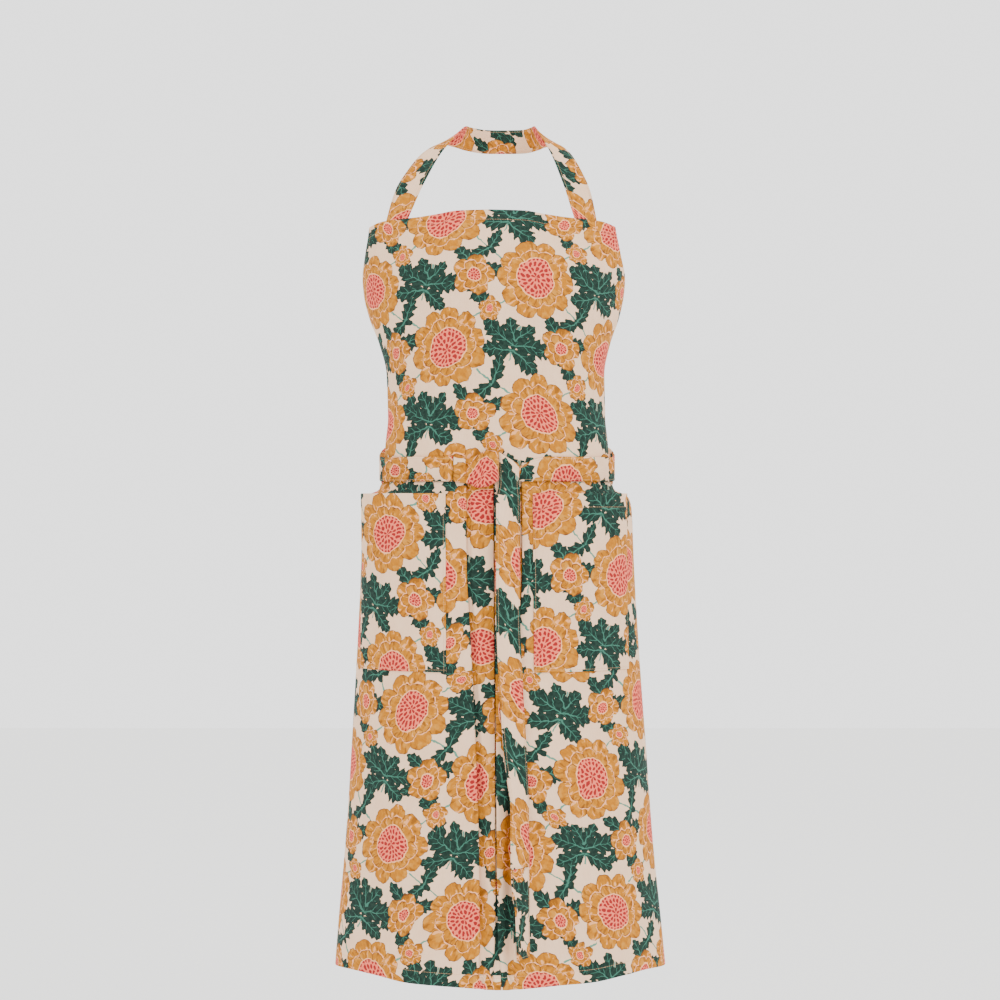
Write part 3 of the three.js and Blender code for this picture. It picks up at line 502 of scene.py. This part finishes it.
# Plain woven cotton: matt, with a soft sheen from its short fibres, slubs along the warp
# and a fine weave. `ink` is how much of the print shows: less on the wrong side.
def makeCotton(name, ink):
    material = bpy.data.materials.new(name)
    material.use_nodes = True
    tree = material.node_tree
    shader = tree.nodes["Principled BSDF"]
    uv = addNode(tree, "UVMap", uv_map="cloth")
    place = addNode(tree, "VectorMath SCALE", uv, keyed={"Scale": 1 / mm})
    printed = addNode(tree, "Group", place, node_tree=floralPrint)
    shown = layColours(tree, dyes["groundLight"], [(ink, printed)])
    slubPlace = addNode(tree, "VectorMath MULTIPLY", place, (cotton["slubAcross"], cotton["slubAlong"], 0.0))
    slub = addNode(tree, "TexNoise", slubPlace, keyed={"Scale": 1.0, "Detail": 2.0})
    shade = addNode(tree, "MapRange", slub, 0.3, 0.7, *cotton["shade"])
    tinted = addNode(tree, "VectorMath SCALE", shown, keyed={"Scale": shade})
    parts = addNode(tree, "SeparateXYZ", place).node.outputs
    turnsPerMm = 2 * math.pi / (2 * cotton["threadSpacing"])
    warp = addNode(tree, "Math SINE", addNode(tree, "Math MULTIPLY", parts[0], turnsPerMm))
    weft = addNode(tree, "Math SINE", addNode(tree, "Math MULTIPLY", parts[1], turnsPerMm))
    weave = addNode(tree, "Math MULTIPLY", warp, weft)
    # Stitches run where the seam map is zero, each line in its own groove
    seam = addNode(tree, "VectorMath SCALE", addNode(tree, "UVMap", uv_map="seam"), keyed={"Scale": 1 / mm})
    fromSeam = addNode(tree, "SeparateXYZ", seam).node.outputs
    thread, groove = 0.0, 0.0
    for line, run in ((0, 1), (1, 0)):
        off = addNode(tree, "Math ABSOLUTE", fromSeam[line])
        turn = addNode(tree, "Math FRACT", addNode(tree, "Math MULTIPLY", parts[run], 1 / stitch["length"]))
        onTop = addNode(tree, "Math LESS_THAN", turn, stitch["threadShare"])
        onLine = addNode(tree, "Math LESS_THAN", off, stitch["thread"] / 2)
        sunk = addNode(tree, "MapRange", off, 0.0, stitch["groove"], 1.0, 0.0)
        thread = addNode(tree, "Math MAXIMUM", thread, addNode(tree, "Math MULTIPLY", onTop, onLine))
        groove = addNode(tree, "Math MAXIMUM", groove, sunk)
    covered = addNode(tree, "Math MULTIPLY", thread, stitch["cover"])
    sewn = layColours(tree, tinted, [(covered, linearColour(stitch["colour"]))])
    tree.links.new(sewn, shader.inputs["Base Color"])
    woven = addNode(tree, "Math MULTIPLY_ADD", slub, cotton["slubHeight"], weave)
    grooved = addNode(tree, "Math MULTIPLY_ADD", groove, cotton["grooveHeight"], woven)
    height = addNode(tree, "Math MULTIPLY_ADD", thread, cotton["threadHeight"], grooved)
    bump = addNode(tree, "Bump", keyed={
        "Strength": cotton["bumpStrength"], "Distance": cotton["bumpHeight"] * mm, "Height": height})
    tree.links.new(bump, shader.inputs["Normal"])
    rough = addNode(tree, "MapRange", slub, 0.3, 0.7, *cotton["roughness"])
    tree.links.new(rough, shader.inputs["Roughness"])
    shader.inputs["IOR"].default_value = cotton["ior"]
    shader.inputs["Specular IOR Level"].default_value = cotton["specular"]
    shader.inputs["Sheen Weight"].default_value = cotton["sheen"]
    shader.inputs["Sheen Roughness"].default_value = cotton["sheenRoughness"]
    return material


cottonFace = makeCotton("printed cotton face", cotton["inkOnFace"])
cottonBack = makeCotton("printed cotton wrong side", cotton["inkOnWrongSide"])


# A sheet of cloth through a grid of places in millimetres: rows run down the cloth and
# columns to the right, seen from its outer face. Its UV map is the flat cloth in metres.
def makeSheet(name, node, places, values):
    places = np.array([[tuple(place) for place in row] for row in places])
    rows, columns = places.shape[:2]
    across = np.linalg.norm(np.diff(places, axis=1), axis=2)
    down = np.linalg.norm(np.diff(places, axis=0), axis=2)
    flatU = np.concatenate([np.zeros((rows, 1)), np.cumsum(across, axis=1)], axis=1)
    flatU -= flatU[:, columns // 2][:, None]
    flatV = -np.concatenate([np.zeros((1, columns)), np.cumsum(down, axis=0)], axis=0)
    # How far each place lies from a line of stitches: beside the sides, and below or above the
    # folded edges. A line that isn't sewn has an inset below zero.
    topFold, bottomFold, sideFold = values["folds"]
    sideInset, topInset, bottomInset = values["stitches"]
    fromLeft, fromRight = [np.abs(flatU - flatU[:, [k]]) for k in (sideFold, columns - 1 - sideFold)]
    fromTop, fromBottom = [np.abs(flatV - flatV[[k]]) for k in (topFold, rows - 1 - bottomFold)]
    seamU = np.minimum(fromLeft, fromRight) - sideInset
    seamV = np.where(fromTop < fromBottom, fromTop - topInset, fromBottom - bottomInset)
    shiftU, shiftV = values["printShift"]
    build = bmesh.new()
    bmesh.ops.create_grid(build, x_segments=columns - 1, y_segments=rows - 1, size=1)
    build.verts.index_update()
    clothLayer, seamLayer = build.loops.layers.uv.new("cloth"), build.loops.layers.uv.new("seam")
    spots = {}
    for vertex in build.verts:
        column = round((vertex.co.x + 1) / 2 * (columns - 1))
        row = round((1 - vertex.co.y) / 2 * (rows - 1))
        vertex.co = Vector(places[row, column]) * mm
        spots[vertex.index] = [((flatU[row, column] + shiftU) * mm, (flatV[row, column] + shiftV) * mm),
                               (seamU[row, column] * mm, seamV[row, column] * mm)]
    for face in build.faces:
        face.smooth = True
        for loop in face.loops:
            loop[clothLayer].uv, loop[seamLayer].uv = spots[loop.vert.index]
    mesh = bpy.data.meshes.new(name)
    build.to_mesh(mesh)
    build.free()
    mesh.materials.append(cottonFace)
    mesh.materials.append(cottonBack)
    piece = bpy.data.objects.new(name, mesh)
    bpy.context.scene.collection.objects.link(piece)
    solidify = piece.modifiers.new("cloth thickness", "SOLIDIFY")
    solidify.thickness = values["thickness"] * mm
    solidify.offset = 0
    solidify.material_offset = values.get("wrongSide", 1)
    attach(piece, "root")
    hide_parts(node)
    width, length = float(across.sum(axis=1).max()), float(down.sum(axis=0).max())
    area = float((across[:-1] * (down[:, :-1] + down[:, 1:]) / 2).sum())
    share = area / (width * length)
    print(f"  {name}: {rows} x {columns}, flat {width:.0f} x {length:.0f} mm, area share {share:.3f}")
    return piece


unsewn = -50   # an inset that puts a line of stitches nowhere on the cloth

# The bib
print("bib")
bib = {
    "thickness": 0.7, "bend": 0.55, "topHem": 16, "sideHem": 8, "seamAllowance": 9,
    "columns": 84, "rows": 76, "printShift": (59, 30),
    "softness": 0.7, "softAcross": 34, "softDown": 41, "softSeed": 1.3,
    "seamSetBack": 1.1, "folds": (8, 0, 8), "stitches": (7, 14, unsewn),
}


def topEdgeZ(across):
    return figure["bibTop"] - figure["topEdgeSag"] * readTable(topEdgeForm, 1, abs(across))


def bibPlace(across, sidePast, share, topPast, below):
    beyondSide, deepSide = hemTurn(sidePast, bib["bend"])
    beyondTop, deepTop = hemTurn(topPast, bib["bend"])
    z = lerp(topEdgeZ(across), waistZ, share) + beyondTop - below
    body = outlineAt(max(z, waistZ + 0.01))
    body["z"] = z
    arc = across * arcTo(body, body["edge"]) + math.copysign(1, across) * beyondSide
    soft = bib["softness"] * unevenness(arc / bib["softAcross"], z / bib["softDown"], bib["softSeed"])
    soft *= smoothstep(share, 0.02, 0.2)   # the top hem lies flat
    return atArc(body, arc, soft - deepSide - deepTop - (bib["seamSetBack"] if below else 0))


def sideStops(count, hem, bend):
    pasts = hemPasts(bend, hem)
    return ([(-1, past) for past in reversed(pasts)] + [(-1 + 2 * i / count, 0) for i in range(count + 1)]
            + [(1, past) for past in pasts])


bibColumns = sideStops(bib["columns"], bib["sideHem"], bib["bend"])
bibRows = ([(0, past, 0) for past in reversed(hemPasts(bib["bend"], bib["topHem"]))]
           + [(i / bib["rows"], 0, 0) for i in range(bib["rows"] + 1)]
           + [(1, 0, bib["seamAllowance"] * i / 3) for i in range(1, 4)])
bibPlaces = [[bibPlace(across, side, share, top, below) for across, side in bibColumns]
             for share, top, below in bibRows]
bibPiece = makeSheet("bibCloth", "bib", bibPlaces, bib)

# The skirt: one width of cloth with an inverted pleat on the centre line and a knife pleat on
# each side of it, all released towards the hem
print("skirt")
skirt = {
    "thickness": 0.7, "bend": 0.55, "sideHem": 9, "bottomHem": 18,
    "pleatDepth": 22, "pleatSpacing": 36, "pleatBend": 1.1,
    "outerColumns": 52, "bendSteps": 5, "printShift": (59, -292),
    "softness": 1.3, "softAcross": 30, "softDown": 14, "softSeed": 0.4,
    "wave": 2.6, "waveLength": 21, "wavePhase": 0.9,
    "folds": (0, 8, 8), "stitches": (7.5, unsewn, 16),
}
pleatForm = [  # drop, turn, lap, bend, slit, side
    (0, 180, 1, 1, 0.025, 1), (0.2, 180, 1, 1, 0.025, 1), (0.3, 178, 0.86, 1.05, 0.025, 0.91),
    (0.42, 176, 0.66, 1.1, 0.025, 0.8), (0.57, 172, 0.44, 1.15, 0.03, 0.69),
    (0.7, 165, 0.26, 1.2, 0.03, 0.62), (0.82, 148, 0.13, 1.3, 0.035, 0.6), (0.9, 104, 0.1, 1.5, 0.06, 0.6),
    (0.95, 62, 0.1, 2.4, 0.12, 0.62), (1, 22, 0.1, 5, 0.2, 0.66),
]
hemEdgeForm = [  # across, rise
    (0, 0), (0.23, 0.3), (0.38, 0.52), (0.53, 0.9), (0.66, 1), (0.85, 0.6), (1, 0.15),
]


# A fold seen from above, as distances along the outline and depths behind it
def foldPlaces(start, turn, lap, bend):
    angle, steps = math.radians(turn), skirt["bendSteps"]
    arc = start - 2 * bend * math.sin(angle) - lap * math.cos(angle)
    depth = 2 * bend * (1 - math.cos(angle)) + lap * math.sin(angle)
    parts = [angle * step / steps for step in range(steps + 1)]
    places = [(arc + bend * math.sin(part), depth - bend * (1 - math.cos(part))) for part in parts]
    runIn = places[-1]
    arc += bend * math.sin(angle) + lap * math.cos(angle)
    depth -= bend * (1 - math.cos(angle)) + lap * math.sin(angle)
    turnOut = [(arc + bend * (math.sin(angle) - math.sin(part)),
                depth - bend * (math.cos(part) - math.cos(angle))) for part in reversed(parts)]
    runOut = turnOut[0]
    between = [(lerp(runIn[0], runOut[0], t), lerp(runIn[1], runOut[1], t)) for t in (0.25, 0.5, 0.75)]
    return places + between + turnOut


def skirtSection(body, drop):
    turn, lap, bend, slit, side = [readTable(pleatForm, column, drop) for column in range(1, 6)]
    lap, bend = lap * skirt["pleatDepth"], bend * skirt["pleatBend"]
    centreFold = foldPlaces(slit * skirt["pleatSpacing"] + bend, turn, lap, bend)
    sideFold = foldPlaces(side * skirt["pleatSpacing"] + bend, turn, lap, bend)
    deep, panelFrom = sideFold[0][1], centreFold[-1][0]
    fallTo = min(side * skirt["pleatSpacing"], sideFold[0][0]) - 2 * solids["wall"]
    foldedTo = max(arc for arc, depth in centreFold)
    fallFrom = min(foldedTo + solids["wall"], fallTo - solids["wall"])
    flat = [(lerp(panelFrom, fallFrom, t), 0) for t in (0.33, 0.67)] if fallFrom > panelFrom + 1 else [
        (panelFrom + 0.02, 0), (panelFrom + 0.04, 0)]
    panel = flat + [(lerp(fallFrom, fallTo, t), deep * smoothstep(t, 0, 1)) for t in (0, 0.25, 0.5, 0.75, 1)]
    outerFrom, outerTo, count = sideFold[-1][0], arcTo(body, body["edge"]), skirt["outerColumns"]
    outer = [(lerp(outerFrom, outerTo, step / count), 0) for step in range(1, count + 1)]
    for past in hemPasts(skirt["bend"], skirt["sideHem"]):
        beyond, deepSide = hemTurn(past, skirt["bend"])
        outer.append((outerTo + beyond, deepSide))
    return centreFold + panel + sideFold + outer


# Slight unevenness below the pockets and soft upright folds that grow towards the hem
def skirtSoftness(arc, drop):
    uneven = unevenness(arc / skirt["softAcross"], drop * skirt["softDown"], skirt["softSeed"])
    folds = math.sin(arc / skirt["waveLength"] + skirt["wavePhase"])
    return (skirt["softness"] * uneven * smoothstep(drop, 0.42, 0.7)
            + skirt["wave"] * folds * smoothstep(drop, 0.5, 1) ** 1.5)


def skirtRow(drop, past):
    beyond, deepHem = hemTurn(past, skirt["bend"])
    z = lerp(waistZ, hemZ, drop) - beyond
    body = outlineAt(min(max(z, hemZ), waistZ))
    body["z"] = z
    half = skirtSection(body, drop)
    edgeArc = arcTo(body, body["edge"])

    def placeOn(arc, depth):
        calm = 1 - smoothstep(abs(arc) / edgeArc, 0.8, 1)   # the sides keep to the outline
        place = atArc(body, arc, skirtSoftness(arc, drop) * calm - depth - deepHem)
        place.z += figure["hemRise"] * readTable(hemEdgeForm, 1, abs(arc) / edgeArc) * drop**4
        return place

    left = [placeOn(-arc, depth) for arc, depth in reversed(half)]
    right = [placeOn(arc, depth) for arc, depth in half]
    return [*left, placeOn(0, half[0][1]), *right]


skirtDrops = [*np.linspace(0, 0.036, 5), *np.linspace(0.042, 0.1, 15), *np.linspace(0.112, 1, 84)]
skirtRows = ([skirtRow(drop, 0) for drop in skirtDrops]
             + [skirtRow(1, past) for past in hemPasts(skirt["bend"], skirt["bottomHem"])])
skirtPiece = makeSheet("skirtCloth", "skirt", skirtRows, skirt)

# The pockets
print("pockets")
pocket = {
    "thickness": 0.7, "bend": 0.4, "sideHem": 6, "mouthHem": 20,
    "width": 143, "height": 228, "drop": 40, "spacing": 114, "shift": -6.5,
    "fullness": 12, "swell": 0.6, "ledge": 0.09,
    "columns": 44, "rows": 60, "folds": (8, 8, 8), "stitches": (2.2, 17, 2.2),
}
pocketForm = [  # drop, full
    (0, 1), (0.05, 0.93), (0.15, 0.74), (0.3, 0.52), (0.5, 0.36), (0.7, 0.28), (0.88, 0.18),
    (0.96, 0.07), (1, 0),
]


def pocketPlace(side, across, sidePast, share, topPast, bottomPast):
    beyondSide, deepSide = hemTurn(sidePast, pocket["bend"])
    beyondTop, deepTop = hemTurn(topPast, pocket["bend"])
    beyondBottom, deepBottom = hemTurn(bottomPast, pocket["bend"])
    z = waistZ - pocket["drop"] - pocket["height"] * share + beyondTop - beyondBottom
    body = outlineAt(min(z, waistZ - figure["skirtLength"] * pocket["ledge"]))
    body["z"] = z
    u = (across + 1) / 2
    inner = pocket["spacing"] / 2
    arc = inner + u * pocket["width"] if side > 0 else -inner - (1 - u) * pocket["width"]
    arc += pocket["shift"] + math.copysign(1, across) * beyondSide
    swell = math.sin(math.pi * u) ** pocket["swell"] if 0 < u < 1 else 0
    down = share - (beyondTop - beyondBottom) / pocket["height"]
    full = pocket["fullness"] * readTable(pocketForm, 1, min(1, max(0, down))) * swell
    deep = deepSide + deepTop + deepBottom
    return atArc(body, arc, solids["wall"] + solids["clearance"] + full - deep)


def makePocket(name, node, side, printShift):
    columns = sideStops(pocket["columns"], pocket["sideHem"], pocket["bend"])
    rows = ([(0, past, 0) for past in reversed(hemPasts(pocket["bend"], pocket["mouthHem"]))]
            + [(i / pocket["rows"], 0, 0) for i in range(pocket["rows"] + 1)]
            + [(1, 0, past) for past in hemPasts(pocket["bend"], pocket["sideHem"])])
    places = [[pocketPlace(side, across, past, share, top, bottom) for across, past in columns]
              for share, top, bottom in rows]
    return makeSheet(name, node, places, {**pocket, "printShift": printShift})


pocketLeft = makePocket("pocketLeftCloth", "pocket_left", -1, (5, 72))
pocketRight = makePocket("pocketRightCloth", "pocket_right", 1, (64, 40))

# Bands: the neck strap, the waist ties and their tails, folded flat and pressed
print("neck strap")
band = {
    "width": 32, "thickness": 1.7, "columns": 8, "wrongSide": 0,
    "folds": (0, 0, 0), "stitches": (2.5, unsewn, unsewn),
}


# A place on a curve through stops, as the CAD source's curve goes
def onCurve(stops, t):
    position = (len(stops) - 1) * t
    first = min(int(position), len(stops) - 2)
    f = position - first
    b, c = stops[first], stops[first + 1]
    a = stops[first - 1] if first > 0 else 2 * b - c
    d = stops[first + 2] if first + 2 < len(stops) else 2 * c - b
    return curveBetween(b, 0.5 * (c - a), c, 0.5 * (d - b), f)


strap = {
    "spread": 130, "overlap": 26, "slant": 0.4, "setBack": 2, "stepsBetween": 8,
    "printShift": (12, 20),
}
strapForm = [  # rise, out, fore, then the way its face looks
    (0.29, 0.85, 1.9, 0.14, -0.84, 0.52), (0.47, 0.72, 1.75, 0.12, -0.7, 0.7),
    (0.75, 0.46, 1.47, 0.26, -0.45, 0.85), (0.94, 0.18, 1.08, 0.45, -0.1, 0.88),
    (1, -0.01, 0.72, 0.8, 0.1, 0.55), (1.01, -0.145, 0.3, 0.82, 0.48, 0.32),
    (1, -0.4, 0.05, 0.45, 0.88, 0.12),
]


def strapFoot(side, drop, spread):
    arc = side * spread
    topBody = outlineAt(figure["bibTop"])
    z = topEdgeZ(arc / arcTo(topBody, topBody["edge"])) - drop
    place, face = atArc(outlineAt(z), arc), atArc(outlineAt(z), arc, 1)
    face -= place
    above = atArc(outlineAt(z + 1), arc) - place
    face = (face - above * (face.dot(above) / above.length_squared)).normalized()
    behind = solids["wall"] / 2 + solids["clearance"] + solids["bandWall"] / 2 + strap["setBack"]
    return place - face * behind, face


def strapSide(side):
    low = strapFoot(side, strap["overlap"], strap["spread"] + strap["overlap"] * strap["slant"])
    edge = strapFoot(side, 0, strap["spread"])
    stops = [low, edge]
    for rise, out, fore, faceX, faceY, faceZ in strapForm:
        place = Vector((side * lerp(figure["neck"][0], abs(edge[0].x), out), -figure["neck"][1] * fore,
                        lerp(edge[0].z, 0, rise)))
        stops.append((place, Vector((side * faceX, faceY, faceZ)).normalized()))
    return stops


nape = (Vector((0, solids["bandWall"] / 2, 0)), Vector((0, 1, 0)))
strapStops = [*strapSide(-1), nape, *reversed(strapSide(1))]
strapMiddles, strapFaces = [stop[0] for stop in strapStops], [stop[1] for stop in strapStops]
strapSteps = (len(strapStops) - 1) * strap["stepsBetween"]


def strapRow(t):
    middle = onCurve(strapMiddles, t)
    small = 0.0005
    along = onCurve(strapMiddles, min(1, t + small)) - onCurve(strapMiddles, max(0, t - small))
    face = onCurve(strapFaces, t)
    across = along.cross(face).normalized()
    offsets = [0.5 - column / band["columns"] for column in range(band["columns"] + 1)]
    return [middle + across * band["width"] * offset for offset in offsets]


strapPlaces = [strapRow(i / strapSteps) for i in range(strapSteps + 1)]
strapPiece = makeSheet("neckStrapCloth", "neck_strap", strapPlaces, {**band, **strap})

print("waist ties")
tie = {
    "drop": 8, "root": 76, "step": 2, "knotWidth": 58, "knotDepth": 14, "knotOffset": -22.75,
    "gatherDepth": 1.4,
    # creases in the gathered tie: where they start and end, then their width and depth
    "creases": [((18, -15), (44, -7), 3.5, 1.7), ((44, -7), (60, 13), 3.5, 1.7)],
}
tieZ = waistZ - tie["drop"]
tieBody = outlineAt(tieZ - band["width"] / 2)
tieBody["z"] = tieZ
lowerTieForm = [  # round, lift, layer
    (76, 0, 1), (86, 0, 1), (108, -0.46, 1), (124, -0.58, 1), (148, -0.58, 1), (164, -0.38, 1),
    (196, 0.38, 1), (212, 0.58, 1), (236, 0.58, 2), (250, 0.5, 2), (270, 0.12, 2), (288, 0, 2), (303, 0, 1),
]
# The other tie takes the same way, but lies outside where the two cross
upperTieForm = [(station, lift, 2 if 148 <= station <= 212 else layer)
                for station, lift, layer in lowerTieForm]
gatherForm = [(-1.95, 1, 0), (-1.4, 0.9, -0.06), (-0.8, 0.6, -0.19), (0, 0.56, -0.17)]  # past, tall, lift
layerOut = [solids["wall"] / 2 + solids["clearance"] + solids["bandWall"] / 2,
            solids["wall"] / 2 + 2 * solids["clearance"] + 1.5 * solids["bandWall"]]
knotLeft = tieBody["x"] + figure["slip"] + tie["knotOffset"] - tie["knotWidth"] / 2
knotRight = knotLeft + tie["knotWidth"]


# How deep a crease from one spot to another is at a third spot, all in millimetres
def creaseAt(spot, start, end, width, depth):
    alongX, alongY = end[0] - start[0], end[1] - start[1]
    t = ((spot[0] - start[0]) * alongX + (spot[1] - start[1]) * alongY) / (alongX**2 + alongY**2)
    t = min(1, max(0, t))
    away = math.hypot(spot[0] - start[0] - alongX * t, spot[1] - start[1] - alongY * t)
    return depth * math.exp(-((away / width) ** 2))


# A tie round the body. The gathered one narrows where it comes out of the knot.
def makeWaistTie(name, node, side, form, endX, gathered, printShift):
    narrowest = gatherForm[-1][1]
    endRound = 360 - abs(math.degrees(math.asin((endX - tieBody["x"]) / tieBody["halfWidth"])))
    endArc = arcTo(tieBody, 360 - endRound) if endRound > 90 else 0
    stations = [*np.arange(tie["root"], endRound - tie["step"] / 2, tie["step"]), endRound]
    places = []
    for station in stations:
        before = (arcTo(tieBody, 360 - station) - endArc) / band["width"] if station > 270 else 99
        near = gathered and before < -gatherForm[0][0]
        tall = readTable(gatherForm, 1, -before) if near else 1
        lower = readTable(gatherForm, 2, -before) if near else 0
        past = station > form[-1][0]
        lift = 0 if past else readTable(form, 1, station)
        layer = 1 if past else readTable(form, 2, station)
        out = lerp(layerOut[0], layerOut[1], layer - 1)
        row = []
        for column in range(band["columns"] * 2 + 1):
            across = 0.5 - column / (band["columns"] * 2)
            gather = (1 - tall) / (1 - narrowest)
            fold = tie["gatherDepth"] * gather * (0.5 - 0.5 * math.cos(4 * math.pi * (across + 0.5)))
            if gathered:
                spot = (before * band["width"], across * band["width"])
                fold -= sum(creaseAt(spot, *crease) for crease in tie["creases"])
            place = atAngle(tieBody, side * station, out + fold)
            place.z += (lift + lower + across * tall) * band["width"]
            row.append(place)
        places.append(row if side > 0 else row[::-1])
    return makeSheet(name, node, places, {**band, "printShift": printShift})


tieLeft = makeWaistTie("waistTieLeftCloth", "waist_tie_left", -1, lowerTieForm,
                       knotRight + solids["clearance"], True, (20, 15))
tieRight = makeWaistTie("waistTieRightCloth", "waist_tie_right", 1, upperTieForm,
                        knotLeft - solids["clearance"], False, (36, 60))

# The knot: the band wrapped over the crossing, with folds that rise to the right
print("knot")
knot = {
    "thickness": 1.2, "wrongSide": 0, "printShift": (-8, 58), "sides": 44, "columns": 64,
    "openAngle": 4,              # degrees left open at the back, where the cloth's ends meet
    "squareness": 0.6,           # 1 is round, less is squarer
    "folds": (0, 0, 0), "stitches": (unsewn, unsewn, unsewn),
}
knotForm = [  # across, top, bottom, thick
    (0, 0.47, -0.5, 0.24), (0.13, 0.41, -0.53, 0.46), (0.32, 0.4, -0.57, 0.62), (0.54, 0.54, -0.74, 0.88),
    (0.74, 0.72, -0.7, 1), (0.91, 0.71, -0.55, 0.97), (0.97, 0.67, -0.48, 0.86), (1, 0.62, -0.42, 0.5),
]
# Where its creases start and end, in millimetres from the knot's left end and the tie's
# middle, then their width and depth
knotCreases = [
    ((16, -13), (17, 11), 2.2, 4.6), ((18, 5), (44, 19), 2.0, 4.2), ((20, -4), (50, 12), 1.7, 3.2),
    ((22, -12), (52, 3), 1.7, 2.8), ((5, -6), (12, 4), 2.6, 1.8), ((30, -18), (50, -6), 2.0, 2.2),
]


def knotRow(part):
    angle = math.radians((360 - knot["openAngle"]) * (0.5 - part))
    row = []
    for column in range(knot["columns"] + 1):
        across = column / knot["columns"]
        top, bottom, thick = [readTable(knotForm, k, across) for k in (1, 2, 3)]
        x = knotLeft + tie["knotWidth"] * across
        degrees = math.degrees(math.asin((x - tieBody["x"]) / tieBody["halfWidth"]))
        backY = atAngle(tieBody, degrees, solids["wall"] / 2 + solids["clearance"]).y
        middle, half, deep = (top + bottom) / 2, (top - bottom) / 2, thick * tie["knotDepth"]
        up, forward = [math.copysign(abs(value) ** knot["squareness"], value)
                       for value in (math.sin(angle), math.cos(angle))]
        height = (middle + half * up) * band["width"]
        creased = sum(creaseAt((tie["knotWidth"] * across, height), *crease) for crease in knotCreases)
        # the creases fade at both ends and on the way round to the back
        creased *= max(0, forward) * smoothstep(across, 0, 0.15) * (1 - smoothstep(across, 0.9, 1))
        row.append(Vector((x, backY - deep / 2 * (1 + forward) + creased, tieZ + height)))
    return row


knotPlaces = [knotRow(i / knot["sides"]) for i in range(knot["sides"] + 1)]
knotPiece = makeSheet("tieKnotCloth", "tie_knot", knotPlaces, knot)

# The tails that hang from the knot
print("tie tails")
tail = {
    "front": 520, "back": 602, "frontTop": 0.43, "backTop": -0.6, "frontSlant": 0.5, "slantFade": 0.1,
    "cup": 1.2, "cupTurns": 9, "cupPhase": 0.5, "cupGrows": (0.08, 0.2), "rows": 120,
}
frontTailForm = [  # drop, aside, off, twist, wide
    (0, 0, 0.14, 0, 0.8), (0.067, 0, 0.17, 4, 0.8), (0.1, -0.04, 0.34, 19, 1), (0.35, -0.04, 0.36, 19, 1),
    (0.54, 0.06, 0.36, 20, 1), (0.67, 0.19, 0.4, 24, 1), (0.76, 0.3, 0.46, 34, 1), (0.84, 0.41, 0.6, 45, 1),
    (1, 0.43, 0.6, 44, 1),
]
backTailForm = [
    (0, 0, 0.04, 0, 0.8), (0.035, -0.03, 0.16, 19, 1), (0.25, -0.04, 0.22, 19, 1), (0.42, 0.06, 0.24, 20, 1),
    (0.53, 0.19, 0.28, 24, 1), (0.61, 0.3, 0.34, 34, 1), (0.68, 0.41, 0.4, 45, 1), (0.84, 0.44, 0.42, 47, 1),
    (0.9, 0.52, 0.5, 58, 1), (1, 0.56, 0.52, 61, 1),
]
tailX = knotRight + solids["clearance"] + frontTailForm[0][4] * band["width"] / 2


# A hanging end, slightly cupped across by turns to one side and the other
def makeTail(name, node, form, topZ, length, slant, printShift):
    places = []
    for step in range(tail["rows"] + 1):
        drop = step / tail["rows"]
        aside, off, twist, wide = [readTable(form, k, drop) for k in (1, 2, 3, 4)]
        z = topZ - length * drop
        body = tieBody if z > tieZ - band["width"] / 2 else outlineAt(z)
        x = tailX + aside * band["width"]
        frontY = body["y"] - body["depth"] * math.sqrt(1 - ((x - body["x"]) / body["halfWidth"]) ** 2)
        y = frontY - solids["wall"] / 2 - off * band["width"]
        turn, half = math.radians(twist), wide * band["width"] / 2
        rise = slant * band["width"] / 2 * (1 - smoothstep(drop, 0, tail["slantFade"]))
        row = []
        for column in range(band["columns"] + 1):
            across = 2 * column / band["columns"] - 1
            cup = (tail["cup"] * (across**2 - 1) * smoothstep(drop, *tail["cupGrows"])
                   * math.sin(tail["cupTurns"] * drop + tail["cupPhase"]))
            row.append(Vector((x + across * half * math.cos(turn) - cup * math.sin(turn),
                               y + across * half * math.sin(turn) + cup * math.cos(turn), z - across * rise)))
        places.append(row)
    return makeSheet(name, node, places, {**band, "stitches": (2.5, unsewn, 2.5), "printShift": printShift})


frontTopZ, backTopZ = [tieZ + tail[top] * band["width"] for top in ("frontTop", "backTop")]
tailFront = makeTail("tieTailFrontCloth", "tie_tail_front", frontTailForm, frontTopZ,
                     tail["front"], tail["frontSlant"], (-27, -50))
tailBack = makeTail("tieTailBackCloth", "tie_tail_back", backTailForm, backTopZ,
                    tail["back"], 0, (66, 10))
